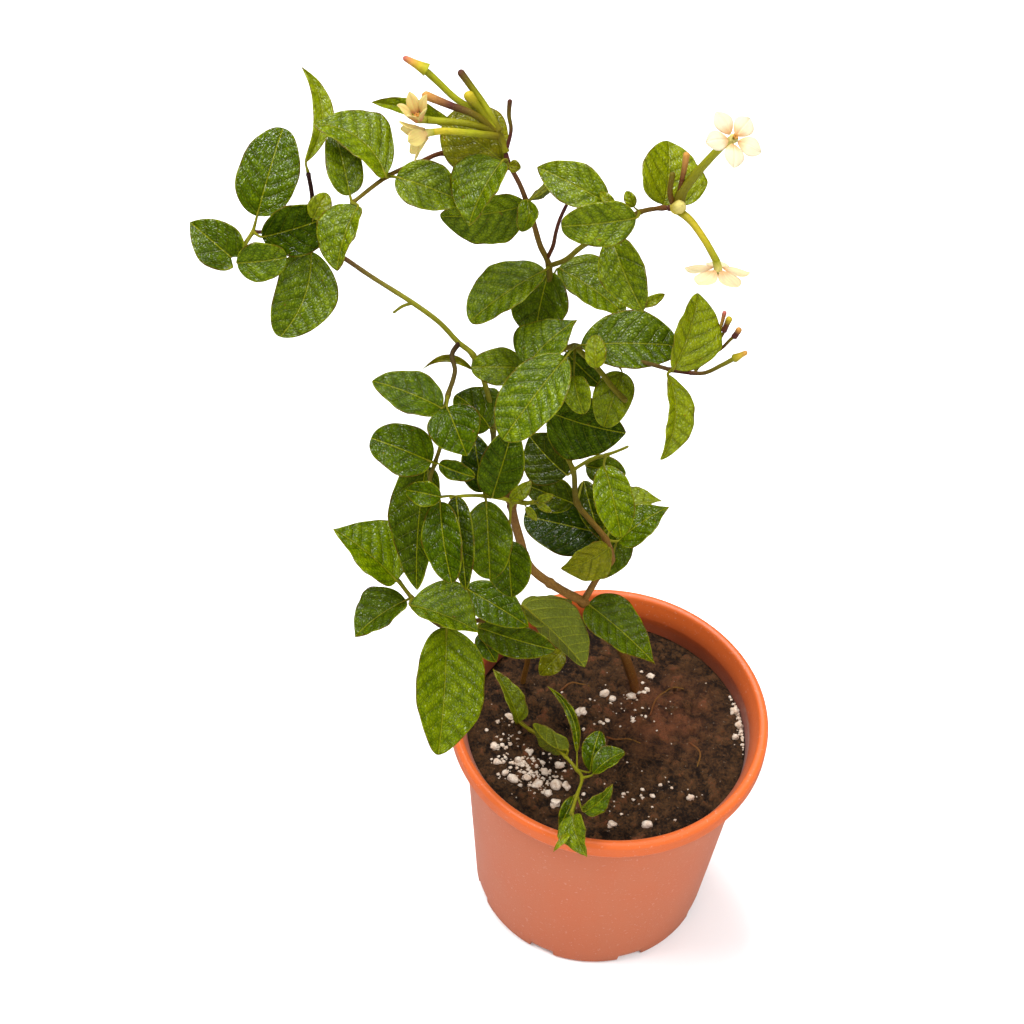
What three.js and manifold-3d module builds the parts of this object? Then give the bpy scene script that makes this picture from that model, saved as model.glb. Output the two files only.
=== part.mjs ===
// A potted rangoon creeper: a young climbing plant with two open flower clusters, in an orange nursery pot.
// Millimetres, +Z up. The origin is the middle of the pot's base, and the plant is seen from the -Y side.

import * as THREE from "three";
import { mergeVertices } from "three/addons/utils/BufferGeometryUtils.js";
import Module from "manifold-3d";

const wasm = await Module();
wasm.setup();

// Driving dimensions of the pot
const POT_HEIGHT = 182;
const RIM_RADIUS = 102.5;
const RIM_INNER_RADIUS = 95.8;
const COLLAR_HEIGHT = 13;
const BODY_TOP_RADIUS = 92.2;
const BASE_RADIUS = 78.8;
const WALL = 2.2;
const BASE_EDGE = 2;
const NOTCH_COUNT = 8;
const NOTCH_WIDTH = 17;
const NOTCH_HEIGHT = 5;
const NOTCH_INNER_RADIUS = 70;
const NOTCH_START_DEGREES = 22.5;
const POT_SIDES = 32;

// Driving dimensions of the soil
const SOIL_LEVEL = 158;
const SOIL_GAP = 0.4;
const SOIL_ROUGHNESS = 1.6;
const FOOT_DEPTH = 26;
const HOLE_CLEARANCE = 0.35;

// Driving dimensions of the plant
const BLADE_THICKNESS = 0.8;
const STEM_SIDES = 5;
const STALK_RADIUS = 0.95;
const WIDE_LEAF = 38;
const MIDDLING_LEAF = 34;
const SMALL_LEAF = 20;
const TINY_LEAF = 9;
const JOIN_GAP = 0.3;

// The spot that the plant is laid out from. A pick on the plant is [column, row, back]: where it shows in the
// photograph's 1024 frame, and how far back it lies from the pot's axis, in mm along +Y.
const EYE = new THREE.Vector3(-71.8, -835.8, 1324.4);
const EYE_PITCH = THREE.MathUtils.degToRad(48.83);
const EYE_ROLL = THREE.MathUtils.degToRad(4.22);
const EYE_FOCAL = 2200;
const FRAME_MIDDLE = 512;

const AHEAD = new THREE.Vector3(0, Math.cos(EYE_PITCH), -Math.sin(EYE_PITCH));
const LEVEL_UP = new THREE.Vector3(0, Math.sin(EYE_PITCH), Math.cos(EYE_PITCH));
const RIGHT = new THREE.Vector3(Math.cos(EYE_ROLL), 0, 0).addScaledVector(LEVEL_UP, Math.sin(EYE_ROLL));
const UP = new THREE.Vector3(-Math.sin(EYE_ROLL), 0, 0).addScaledVector(LEVEL_UP, Math.cos(EYE_ROLL));

const FINISH = {
  pot: { color: 0xd9653a, roughness: 0.55, metalness: 0 },
  soil: { color: 0x3a2418, roughness: 0.95, metalness: 0 },
  wood: { color: 0x6b4a32, roughness: 0.8, metalness: 0 },
  leaf: { color: 0x4c7311, roughness: 0.4, metalness: 0 },
  youngLeaf: { color: 0x6f8f2c, roughness: 0.45, metalness: 0 },
  tube: { color: 0x93a03a, roughness: 0.5, metalness: 0 },
  petal: { color: 0xf4e6d2, roughness: 0.55, metalness: 0 },
};

// Laying out by sight lines

function sightLine(column, row) {
  return AHEAD.clone()
    .addScaledVector(RIGHT, (column - FRAME_MIDDLE) / EYE_FOCAL)
    .addScaledVector(UP, (FRAME_MIDDLE - row) / EYE_FOCAL);
}

function pick([column, row, back]) {
  const line = sightLine(column, row);
  return EYE.clone().addScaledVector(line, (back - EYE.y) / line.y);
}

function depthOf(point) {
  return point.clone().sub(EYE).dot(AHEAD);
}

function pickAtDepth([column, row], depth) {
  return EYE.clone().addScaledVector(sightLine(column, row), depth);
}

// The triangles of one cell of a sheet, as [row ahead, lane beside] corners, the same on both of its faces
const OPEN_CELL = [[[0, 0], [0, 1], [1, 1]], [[0, 0], [1, 1], [1, 0]]];
const POINTED_CELL = [[[0, 0], [0, 1], [1, 0]]];

// Joining and cutting of closed meshes

function solidOf(geometry) {
  const bare = geometry.clone();
  bare.deleteAttribute("normal");
  bare.deleteAttribute("uv");
  const merged = mergeVertices(bare, 1e-4);
  return new wasm.Manifold(new wasm.Mesh({
    numProp: 3,
    vertProperties: new Float32Array(merged.attributes.position.array),
    triVerts: new Uint32Array(merged.index.array),
  }));
}

function geometryOf(solid) {
  const mesh = solid.getMesh();
  const geometry = new THREE.BufferGeometry();
  geometry.setAttribute("position", new THREE.BufferAttribute(new Float32Array(mesh.vertProperties), 3));
  geometry.setIndex(new THREE.BufferAttribute(new Uint32Array(mesh.triVerts), 1));
  return geometry;
}

function joined(solids) {
  return solids.reduce((whole, next) => whole.add(next));
}

function largestBody(solid) {
  const bodies = solid.decompose();
  return bodies.reduce((best, body) => (body.volume() > best.volume() ? body : best));
}

function meshFrom(points, faces) {
  const geometry = new THREE.BufferGeometry();
  const numbers = points.flatMap((point) => point.toArray());
  geometry.setAttribute("position", new THREE.Float32BufferAttribute(numbers, 3));
  geometry.setIndex(faces.flat());
  return solidOf(geometry);
}

// A round limb along a smooth curve, tapering from one radius to the other, with a ring at every point and
// `steps` rings from one point to the next
function limb(points, startRadius, endRadius, sides, steps) {
  const curve = new THREE.CatmullRomCurve3(points, false, "centripetal");
  curve.getUtoTmapping = (share) => share;
  const segments = steps * (points.length - 1);
  const frames = curve.computeFrenetFrames(segments, false);
  const vertices = [];
  const faces = [];
  for (let ring = 0; ring <= segments; ring += 1) {
    const along = ring / segments;
    const centre = curve.getPointAt(along);
    const radius = THREE.MathUtils.lerp(startRadius, endRadius, along);
    for (let side = 0; side < sides; side += 1) {
      const angle = (2 * Math.PI * side) / sides;
      vertices.push(centre.clone()
        .addScaledVector(frames.normals[ring], radius * Math.cos(angle))
        .addScaledVector(frames.binormals[ring], radius * Math.sin(angle)));
    }
  }
  for (let ring = 0; ring < segments; ring += 1) {
    for (let side = 0; side < sides; side += 1) {
      const a = ring * sides + side;
      const b = ring * sides + ((side + 1) % sides);
      faces.push([a, b, b + sides], [a, b + sides, a + sides]);
    }
  }
  const last = segments * sides;
  for (let side = 1; side < sides - 1; side += 1) {
    faces.push([0, side + 1, side], [last, last + side, last + side + 1]);
  }
  return meshFrom(vertices, faces);
}

// Half the width of a leaf blade at s along it, as a share of the widest. A high `fullness` moves the widest
// part towards the tip, and a high `point` sharpens the tip.
function leafOutline(s, fullness, point) {
  return Math.sin(Math.PI * s ** fullness) ** (0.55 + (point - 0.55) * s);
}

// One cross-section of a sheet: its upper and lower points at each lane from edge to edge. `skew` gives one
// half more of the width.
function crossSection(centre, across, normal, lanes, options) {
  const { half, skew = 0, fold = 0, ripple = () => 0, thickness } = options;
  const upper = [];
  const lower = [];
  for (const lane of lanes) {
    const side = Math.sign(lane);
    const reach = half * lane * (1 + skew * side);
    const spot = centre.clone()
      .addScaledVector(across, reach * Math.cos(fold))
      .addScaledVector(normal, Math.abs(reach) * Math.sin(fold) + ripple(lane));
    const skin = normal.clone()
      .multiplyScalar(Math.cos(fold))
      .addScaledVector(across, -side * Math.sin(fold))
      .multiplyScalar(thickness / 2);
    upper.push(spot.clone().add(skin));
    lower.push(spot.clone().sub(skin));
  }
  return { upper, lower };
}

// A waved, folded and arched blade from its root to its tip, with its upper face towards `facing`, and with a
// stalk that starts at `joint` and runs on into the blade
function blade(joint, root, tip, facing, leaf) {
  const { width, fold = 14, turn = 0, arch = 3, bend = 0, wave = 0.7 } = leaf;
  const { fullness = 0.8, point = 0.65, skew = 0 } = leaf;
  const gaps = 6 - (width < MIDDLING_LEAF) - (width < SMALL_LEAF) - (width < TINY_LEAF);
  const lanes = width > WIDE_LEAF ? [-1, -0.5, 0, 0.5, 1] : [-1, 0, 1];
  const axis = tip.clone().sub(root);
  const length = axis.length();
  axis.normalize();
  const normal = facing.clone().addScaledVector(axis, -facing.dot(axis)).normalize();
  normal.applyAxisAngle(axis, THREE.MathUtils.degToRad(turn));
  const across = axis.clone().cross(normal);

  const stalkAim = root.clone().sub(joint).normalize();
  const rows = [];
  for (const [centre, aim] of [[joint, stalkAim], [root, stalkAim.clone().add(axis).normalize()]]) {
    const tilt = new THREE.Quaternion().setFromUnitVectors(axis, aim);
    const sideways = across.clone().applyQuaternion(tilt);
    const upwards = normal.clone().applyQuaternion(tilt);
    rows.push(crossSection(centre, sideways, upwards, lanes, {
      half: STALK_RADIUS,
      thickness: 2 * STALK_RADIUS,
    }));
  }
  for (let row = 1; row < gaps; row += 1) {
    const s = row / gaps;
    const hump = 4 * s * (1 - s);
    const centre = root.clone()
      .addScaledVector(axis, length * s)
      .addScaledVector(normal, arch * hump)
      .addScaledVector(across, bend * hump);
    rows.push(crossSection(centre, across, normal, lanes, {
      half: (width / 2) * leafOutline(s, fullness, point),
      skew,
      fold: THREE.MathUtils.degToRad(fold),
      ripple: (lane) => wave * lane * lane * Math.sin(2 * Math.PI * (2.3 * s + 0.3 * lane)),
      thickness: BLADE_THICKNESS,
    }));
  }
  rows.push(crossSection(tip, across, normal, [0], { half: 0, thickness: BLADE_THICKNESS }));
  return sheetThrough(rows);
}

// A closed sheet through its cross-sections, of which the last is a point
function sheetThrough(rows) {
  const points = [];
  const number = (spots) => spots.map((spot) => points.push(spot) - 1);
  const top = rows.map((row) => number(row.upper));
  const under = rows.map((row) => number(row.lower));
  const faces = [];
  for (let row = 0; row < rows.length - 1; row += 1) {
    const pointed = top[row + 1].length === 1;
    for (let lane = 0; lane < top[row].length - 1; lane += 1) {
      for (const [i, j, k] of pointed ? POINTED_CELL : OPEN_CELL) {
        const corner = (grid, [ahead, beside]) => grid[row + ahead][pointed && ahead ? 0 : lane + beside];
        faces.push([corner(top, i), corner(top, j), corner(top, k)]);
        faces.push([corner(under, i), corner(under, k), corner(under, j)]);
      }
    }
    for (const [near, far, flip] of [[0, 0, false], [top[row].length - 1, top[row + 1].length - 1, true]]) {
      const [a, b, c, d] = [top[row][near], top[row + 1][far], under[row][near], under[row + 1][far]];
      faces.push(...(flip ? [[a, c, d], [a, d, b]] : [[c, a, b], [c, b, d]]));
    }
  }
  for (let lane = 0; lane < top[0].length - 1; lane += 1) {
    const [a, b, c, d] = [top[0][lane], top[0][lane + 1], under[0][lane], under[0][lane + 1]];
    faces.push([a, c, d], [a, d, b]);
  }
  return meshFrom(points, faces);
}

// A leaf on its stalk. It starts at the pick `at`, and its blade lies `near` mm closer to the eye than that;
// `lean` takes its tip further away.
function leafOnStalk(leaf) {
  const joint = pick(leaf.at);
  const rootDepth = depthOf(joint) - (leaf.near ?? 4);
  const root = pickAtDepth(leaf.root, rootDepth);
  const tip = pickAtDepth(leaf.tip, rootDepth + (leaf.lean ?? 0));
  const facing = EYE.clone().sub(root.clone().lerp(tip, 0.5)).normalize();
  return blade(joint, root, tip, facing, leaf);
}

function stemSolid(stem, growth = 0) {
  const points = stem.way.map(pick);
  const end = points.at(-1);
  end.add(end.clone().sub(points.at(-2)).setLength(growth));
  return limb(points, stem.from + growth, stem.to + growth, stem.sides ?? STEM_SIDES, stem.steps ?? 1);
}

// The plant's stems and leaves

const WOODY_STEM = {
  way: [
    [635, 690, 37], [628, 665, 35], [622, 650, 34], [605, 620, 30], [583, 602, 27], [565, 592, 25],
    [550, 583, 24], [535, 572, 22], [526, 560, 21], [520, 540, 20], [513, 513, 20], [510, 480, 22],
    [515, 440, 25], [530, 400, 30],
  ],
  from: 3.3,
  to: 2.2,
  sides: 8,
};

const CROWN_STEM = {
  way: [
    [530, 400, 30], [540, 350, 36], [547, 310, 41], [549, 266, 45], [540, 245, 46], [533, 221, 47],
    [527, 203, 48], [520, 185, 49], [511, 168, 50], [507, 160, 50.5], [506, 152, 52],
  ],
  from: 2.2,
  to: 1.5,
};

const LEFT_STEM = {
  way: [
    [511, 505, 20], [497, 480, 20], [493, 430, 22], [488, 395, 24], [473, 355, 32], [458, 342, 38],
    [440, 323, 46], [413, 303, 56], [372, 277, 68], [350, 262, 74], [330, 248, 79], [313, 225, 83],
    [312, 195, 86], [308, 172, 88],
  ],
  from: 1.7,
  to: 1.2,
};

const SHOOTS = [
  {
    name: "shoot_crown",
    finish: "leaf",
    carriers: [WOODY_STEM],
    stems: [
      CROWN_STEM,
      {
        way: [[548, 257, 45.4], [553, 246, 44.6], [556, 232, 44.2], [560, 219, 44.5], [567, 204, 46]],
        from: 1.2,
        to: 1,
      },
    ],
    leaves: [
      {
        name: "n", at: [549, 266, 45], root: [545, 270], tip: [470, 322], width: 31.2, near: 5, turn: 38,
        fullness: 0.95, point: 0.45, skew: 0.15,
      },
      {
        name: "o", at: [549, 266, 45], root: [549, 271], tip: [535, 338], width: 35.3, near: -6, lean: 12,
        turn: 16, point: 0.6, skew: 0.03,
      },
      {
        name: "p1", at: [547, 310, 41], root: [558, 268], tip: [625, 316], width: 32.8, near: 6, turn: -38,
        fullness: 0.85, point: 0.7, skew: -0.18,
      },
      {
        name: "e", at: [507, 160, 50.5], root: [502, 161], tip: [469, 226], width: 32.6, near: 9, turn: 38,
        fullness: 0.65, point: 0.8, skew: 0.34,
      },
      {
        name: "f", at: [507, 160, 50.5], root: [504, 162], tip: [446, 118], width: 37.6, near: -3, lean: 2,
        turn: 4, fold: -12, fullness: 1.1, point: 0.45, skew: 0.04,
      },
      {
        name: "h", at: [527, 203, 48], root: [527, 205], tip: [440, 216], width: 33.4, near: -2, lean: 4,
        turn: -38, fullness: 0.85, point: 0.6, skew: -0.12,
      },
      {
        name: "i", at: [527, 203, 48], root: [527, 200], tip: [522, 232], width: 15.3, near: 4, turn: 12,
        fold: 40, bend: -3, fullness: 0.9, point: 0.5,
      },
      {
        name: "k2", at: [527, 203, 48], root: [554, 180], tip: [528, 200], width: 7, near: 1, turn: 160,
        fold: 30, bend: 3,
      },
      { name: "bract", at: [507, 160, 50.5], root: [509, 165], tip: [521, 168], width: 7, near: 3 },
    ],
  },
  {
    name: "shoot_side_branch",
    finish: "leaf",
    carriers: [CROWN_STEM],
    stems: [
      {
        way: [
          [511, 168, 50], [482, 161, 67], [445, 153, 70], [420, 162, 58], [388, 176, 42], [352, 203, 26],
        ],
        from: 1.5,
        to: 1.1,
      },
    ],
    leaves: [
      {
        name: "a", at: [352, 203, 26], root: [350, 195], tip: [333, 128], width: 20, near: -6, lean: 8,
        turn: 10, fullness: 0.7, point: 0.6,
      },
      {
        name: "b", at: [352, 203, 26], root: [358, 206], tip: [337, 271], width: 24.6, near: 5, turn: 38,
        fullness: 0.7, point: 0.6, skew: 0.39,
      },
      {
        name: "c", at: [388, 176, 42], root: [386, 176], tip: [315, 124], width: 30.6, near: 7, turn: 38,
        bend: 7, fullness: 0.85, point: 0.55, skew: 0.18,
      },
      {
        name: "d", at: [388, 176, 42], root: [396, 177], tip: [462, 202], width: 27.7, near: 3, lean: 2,
        turn: -18, point: 0.6,
      },
      {
        name: "g", at: [445, 153, 70], root: [455, 128], tip: [371, 102], width: 17.1, near: -2, turn: 22,
        fold: 50, arch: 6, fullness: 0.9, point: 0.9, skew: -0.2,
      },
    ],
  },
  {
    name: "shoot_upper_right",
    finish: "leaf",
    carriers: [CROWN_STEM],
    stems: [
      {
        way: [
          [549, 266, 45], [565, 260, 43], [580, 248, 40], [593, 240, 37], [617, 226, 29], [640, 212, 21],
          [662, 208, 14], [669, 208, 12],
        ],
        from: 1.5,
        to: 1.2,
      },
    ],
    leaves: [
      {
        name: "k", at: [617, 226, 29], root: [607, 203], tip: [537, 167], width: 24.1, near: 5, lean: 4,
        turn: 12, fullness: 0.85, point: 0.8,
      },
      {
        name: "l", at: [640, 212, 21], root: [636, 218], tip: [561, 226], width: 24.4, near: 9, turn: -14,
        fullness: 0.85, point: 0.42,
      },
      {
        name: "m", at: [662, 208, 14], root: [664, 205], tip: [668, 141], width: 38, near: -7, lean: 8,
        turn: 28, fullness: 0.65, point: 0.6, skew: 0.06,
      },
      {
        name: "p2", at: [617, 226, 29], root: [612, 239], tip: [643, 311], width: 25.9, near: 2, turn: 20,
        point: 0.6,
      },
      { name: "k3", at: [617, 226, 29], root: [614, 206], tip: [600, 192], width: 6, near: 7 },
      { name: "k4", at: [640, 212, 21], root: [634, 207], tip: [626, 191], width: 8, near: 3, fold: 40 },
      {
        name: "p3", at: [617, 226, 29], root: [641, 306], tip: [665, 294], width: 6.6, near: 1, turn: 6,
        fold: 30, point: 0.7, skew: -0.08,
      },
    ],
  },
  {
    name: "shoot_upper_left",
    finish: "leaf",
    carriers: [WOODY_STEM],
    stems: [
      LEFT_STEM,
      { way: [[313, 225, 83], [290, 232, 80], [264, 232, 76], [253, 232, 74]], from: 1.2, to: 1 },
      { way: [[413, 303, 56], [403, 306, 57], [393, 313, 58]], from: 1, to: 0.8 },
    ],
    leaves: [
      {
        name: "u1", at: [308, 172, 88], root: [306, 162], tip: [301, 66], width: 12.8, near: 2, lean: 6,
        turn: 10, fold: 30, bend: 10, fullness: 0.95, point: 0.9,
      },
      {
        name: "u2", at: [253, 232, 74], root: [257, 216], tip: [283, 128], width: 34.6, near: 2, lean: 6,
        turn: -8, fold: 10, point: 0.45,
      },
      {
        name: "u3", at: [253, 232, 74], root: [262, 237], tip: [333, 215], width: 31.1, near: 6, turn: 18,
        fullness: 0.95, point: 0.6, skew: 0.03,
      },
      {
        name: "u4", at: [253, 232, 74], root: [231, 257], tip: [190, 222], width: 27.2, near: 3, turn: 0,
        fullness: 0.6, point: 0.8, skew: 0.04,
      },
      {
        name: "u5", at: [253, 232, 74], root: [237, 263], tip: [287, 257], width: 22.9, near: 8, turn: 12,
        fullness: 0.85, point: 0.4,
      },
      {
        name: "u6", at: [313, 225, 83], root: [311, 251], tip: [280, 337], width: 36.3, near: 1, turn: -4,
        bend: -5, fullness: 0.85, point: 0.5,
      },
      {
        name: "u7", at: [313, 225, 83], root: [313, 219], tip: [327, 193], width: 13.4, near: 18, turn: -4,
        point: 0.5, skew: 0.05,
      },
      {
        name: "bl", at: [493, 430, 22], root: [490, 428], tip: [455, 395], width: 34.5, near: 18, turn: 36,
        fullness: 0.75, point: 0.6, skew: 0.05,
      },
      {
        name: "bm", at: [473, 355, 32], root: [472, 369], tip: [422, 370], width: 6.3, near: -3, turn: -4,
        fold: 45, arch: 3, bend: 6.5, fullness: 0.7, point: 1, skew: 0.06,
      },
    ],
  },
  {
    name: "shoot_right",
    finish: "leaf",
    carriers: [CROWN_STEM],
    stems: [
      {
        way: [
          [541, 352, 36], [560, 350, 32], [575, 346, 29], [600, 352, 22], [650, 364, 6], [672, 370, -2],
          [690, 373, -8],
        ],
        from: 1.5,
        to: 1.1,
      },
      { way: [[575, 346, 29], [600, 371, 22], [613, 388, 16], [627, 402, 8]], from: 1.5, to: 1.7 },
    ],
    leaves: [
      {
        name: "q", at: [541, 352, 36], root: [526, 366], tip: [577, 320], width: 33.8, near: 35, turn: -34,
        fullness: 0.55, point: 1, skew: -0.04,
      },
      {
        name: "r", at: [560, 350, 32], root: [526, 368], tip: [471, 367], width: 21.5, near: 7, turn: 6,
        fullness: 0.9, point: 0.45,
      },
      {
        name: "q2", at: [575, 346, 29], root: [566, 357], tip: [503, 440], width: 34.7, near: 34, lean: 4,
        turn: 16, fullness: 0.95, point: 0.5, skew: 0.03,
      },
      {
        name: "v", at: [600, 352, 22], root: [596, 368], tip: [595, 335], width: 12.1, near: 22, turn: -4,
        point: 0.4, skew: 0.05,
      },
      {
        name: "w", at: [575, 346, 29], root: [574, 376], tip: [584, 414], width: 16.6, near: 6, turn: 12,
        point: 0.5,
      },
      {
        name: "x", at: [600, 352, 22], root: [622, 372], tip: [604, 427], width: 22.9, near: -20, turn: 6,
        point: 0.42,
      },
      {
        name: "s", at: [575, 346, 29], root: [581, 345], tip: [677, 346], width: 35.7, near: 16, lean: 4,
        turn: -24, fullness: 1.05, point: 0.42, skew: -0.04,
      },
      {
        name: "y", at: [672, 370, -2], root: [674, 369], tip: [698, 293], width: 30.7, near: 11, lean: 4,
        turn: 38, fullness: 0.9, skew: 0.31,
      },
      {
        name: "z", at: [672, 370, -2], root: [668, 374], tip: [661, 460], width: 18.2, near: 3, turn: -38,
        fold: 20, bend: -5, fullness: 1, point: 0.62, skew: -0.23,
      },
      {
        name: "t", at: [560, 350, 32], root: [566, 352], tip: [601, 386], width: 15, near: -10, turn: 8,
        point: 0.6,
      },
    ],
  },
  {
    name: "shoot_hanging",
    finish: "leaf",
    carriers: [LEFT_STEM],
    stems: [
      {
        way: [
          [459, 343, 38], [452, 355, 26], [455, 370, 17], [453, 380, 12], [448, 395, 5], [445, 412, -2],
          [443, 435, -9], [440, 448, -12], [435, 463, -16], [430, 482, -20], [438, 497, -22],
        ],
        from: 1.5,
        to: 1.1,
      },
    ],
    leaves: [
      {
        name: "ba", at: [448, 395, 5], root: [442, 408], tip: [372, 381], width: 26.4, near: 4, turn: 24,
        fullness: 0.75, point: 0.7,
      },
      {
        name: "bb", at: [448, 395, 5], root: [447, 407], tip: [467, 456], width: 30.8, near: 8, turn: -2,
        fullness: 0.7, point: 0.85, skew: 0.03,
      },
      {
        name: "bc", at: [435, 463, -16], root: [432, 462], tip: [371, 438], width: 29.7, near: 5, turn: 8,
        point: 0.4,
      },
      {
        name: "bd", at: [435, 463, -16], root: [439, 464], tip: [475, 477], width: 11.6, near: 5, turn: 12,
        point: 0.5, skew: -0.06,
      },
      {
        name: "be", at: [430, 482, -20], root: [441, 497], tip: [406, 490], width: 15.9, near: 7, turn: 4,
        fold: 25, fullness: 0.85, point: 0.45, skew: -0.06,
      },
      {
        name: "bf", at: [430, 482, -20], root: [426, 466], tip: [417, 590], width: 36.2, near: -14,
        lean: 12, turn: 38, fullness: 0.6, point: 0.7, skew: 0.07,
      },
      {
        name: "bg", at: [438, 497, -22], root: [440, 502], tip: [452, 583], width: 24.7, near: 4, turn: 22,
        fullness: 0.85, point: 0.5,
      },
      {
        name: "bg2", at: [438, 497, -22], root: [456, 497], tip: [466, 590], width: 16.2, near: -3,
        turn: -4, fullness: 0.7, point: 0.6, skew: 0.04,
      },
    ],
  },
  {
    name: "shoot_low_centre",
    finish: "youngLeaf",
    carriers: [WOODY_STEM],
    stems: [
      {
        way: [[512, 506, 20], [511, 501, 12], [485, 496, 4], [462, 496, -2], [449, 498, -5]],
        from: 1.3,
        to: 1,
      },
      { way: [[511, 501, 12], [525, 503, 8], [535, 502, 6]], from: 1.3, to: 1.2 },
    ],
    leaves: [
      {
        name: "bh", at: [485, 496, 4], root: [486, 501], tip: [490, 579], width: 29.5, near: 5, turn: -4,
        fullness: 0.95, point: 0.45, skew: 0.03,
      },
      {
        name: "bj", at: [485, 496, 4], root: [492, 497], tip: [513, 428], width: 26.3, near: 12, lean: -24,
        turn: 6, fullness: 0.9, point: 0.5, skew: -0.03,
      },
      {
        name: "bk", at: [485, 496, 4], root: [484, 492], tip: [474, 434], width: 21, near: 2, lean: 4,
        turn: -10, fullness: 0.7, point: 0.6,
      },
      { name: "y1", at: [513, 501, 11], root: [510, 500], tip: [531, 481], width: 9, near: 2, skew: 0.25 },
      { name: "y2", at: [535, 502, 6], root: [537, 501], tip: [554, 495], width: 5.5, near: 2 },
      { name: "y3", at: [525, 503, 8], root: [526, 507], tip: [537, 521], width: 5, near: 2 },
      { name: "y4", at: [535, 502, 6], root: [537, 504], tip: [552, 512], width: 4.5, near: 2 },
      {
        name: "ci", at: [511, 501, 12], root: [509, 541], tip: [512, 597], width: 27.8, near: -2, turn: 8,
        fullness: 0.85, point: 0.55,
      },
    ],
  },
  {
    name: "shoot_right_low",
    finish: "leaf",
    carriers: [WOODY_STEM],
    stems: [
      {
        way: [
          [583, 602, 27], [590, 590, 29], [598, 577, 31], [611, 560, 35], [606, 540, 39], [590, 520, 43],
          [577, 503, 46], [573, 470, 51], [560, 446, 54], [548, 426, 56],
        ],
        from: 2.2,
        to: 1.4,
      },
      {
        way: [[573, 470, 51], [590, 460, 50], [606, 455, 49], [620, 450, 50], [629, 446, 51]],
        from: 1.2,
        to: 0.9,
      },
    ],
    leaves: [
      {
        name: "aa", at: [548, 426, 56], root: [549, 412], tip: [626, 433], width: 44, near: 3, turn: 28,
        fullness: 0.72, point: 0.75, skew: 0.07,
      },
      {
        name: "ab", at: [573, 470, 51], root: [567, 475], tip: [530, 436], width: 34.4, near: -2, lean: 6,
        turn: -22, point: 0.6, skew: -0.03,
      },
      {
        name: "ae", at: [606, 540, 39], root: [606, 535], tip: [524, 516], width: 39.5, near: -12, turn: 8,
        fullness: 0.9, point: 0.45,
      },
      {
        name: "ag", at: [606, 455, 49], root: [604, 465], tip: [621, 537], width: 24.7, near: 6, turn: -12,
        fullness: 0.9, point: 0.42,
      },
      {
        name: "ah", at: [606, 540, 39], root: [618, 541], tip: [669, 507], width: 27.4, near: -1, turn: -30,
        fullness: 0.6, point: 0.9,
      },
      {
        name: "ai", at: [606, 540, 39], root: [618, 512], tip: [662, 501], width: 18.2, near: -12,
        turn: -38, fullness: 0.65, point: 0.9, skew: -0.43,
      },
      {
        name: "aj", at: [611, 560, 35], root: [622, 524], tip: [600, 579], width: 24, near: -9, turn: -18,
        point: 0.6,
      },
      {
        name: "af", at: [611, 560, 35], root: [609, 548], tip: [561, 569], width: 28.9, near: 14, turn: -38,
        fullness: 0.7, point: 0.8, skew: -0.07,
      },
      {
        name: "ak", at: [590, 460, 50], root: [586, 466], tip: [626, 474], width: 18.4, near: -3, turn: -4,
        point: 0.6, skew: 0.04,
      },
      {
        name: "al", at: [577, 503, 46], root: [584, 481], tip: [602, 541], width: 16.2, near: -13, turn: 14,
        point: 0.8, skew: -0.03,
      },
      {
        name: "ab2", at: [577, 503, 46], root: [573, 503], tip: [525, 484], width: 22.4, near: -1, turn: -4,
        point: 0.6, skew: 0.04,
      },
    ],
  },
  {
    name: "shoot_lower_left",
    finish: "leaf",
    carriers: [],
    stems: [
      {
        way: [
          [523, 682, 36], [528, 655, 30], [521, 624, 20], [483, 620, 0], [440, 625, -22], [412, 598, -24],
          [398, 580, -22],
        ],
        from: 1.9,
        to: 1.2,
        foot: true,
      },
    ],
    leaves: [
      {
        name: "ca", at: [398, 580, -22], root: [397, 581], tip: [333, 529], width: 45, near: 4, turn: 38,
        fullness: 0.6, point: 1, skew: 0.35,
      },
      {
        name: "cb", at: [412, 598, -24], root: [406, 600], tip: [355, 637], width: 30.2, near: 1, turn: 38,
        point: 0.9, skew: 0.24,
      },
      {
        name: "cc", at: [412, 598, -24], root: [410, 605], tip: [478, 632], width: 34.3, near: 7, turn: -38,
        fullness: 0.9, point: 0.9, skew: -0.39,
      },
      {
        name: "cd", at: [440, 625, -22], root: [446, 628], tip: [438, 755], width: 48, near: 4, lean: -10,
        turn: -28, point: 0.6, skew: -0.07,
      },
      {
        name: "ce", at: [483, 620, 0], root: [465, 588], tip: [529, 627], width: 25.5, near: 8, turn: -12,
        point: 0.8,
      },
      {
        name: "cf", at: [521, 624, 20], root: [524, 606], tip: [585, 667], width: 33.2, near: 10, turn: 218,
        fold: 20, point: 0.7, skew: 0.3,
      },
      {
        name: "cf2", at: [521, 624, 20], root: [521, 606], tip: [572, 602], width: 26.5, near: 2, turn: 142,
        fold: 14, point: 0.6, skew: -0.09,
      },
      {
        name: "cg", at: [483, 620, 0], root: [478, 627], tip: [556, 650], width: 22.9, near: -3, turn: 16,
        point: 0.6,
      },
      { name: "cg2", at: [483, 620, 0], root: [479, 634], tip: [496, 662], width: 14, near: -9 },
      { name: "ch", at: [528, 655, 30], root: [562, 651], tip: [540, 675], width: 16, near: 3 },
    ],
  },
  {
    name: "leaf_at_foot",
    finish: "leaf",
    carriers: [WOODY_STEM],
    stems: [],
    leaves: [
      {
        name: "cj", at: [594, 611, 28.5], root: [588, 604], tip: [655, 664], width: 33.3, near: 8,
        turn: -26, fullness: 0.58, point: 1, skew: -0.04,
      },
    ],
  },
  {
    name: "shoot_over_soil",
    finish: "leaf",
    carriers: [],
    stems: [
      {
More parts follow.
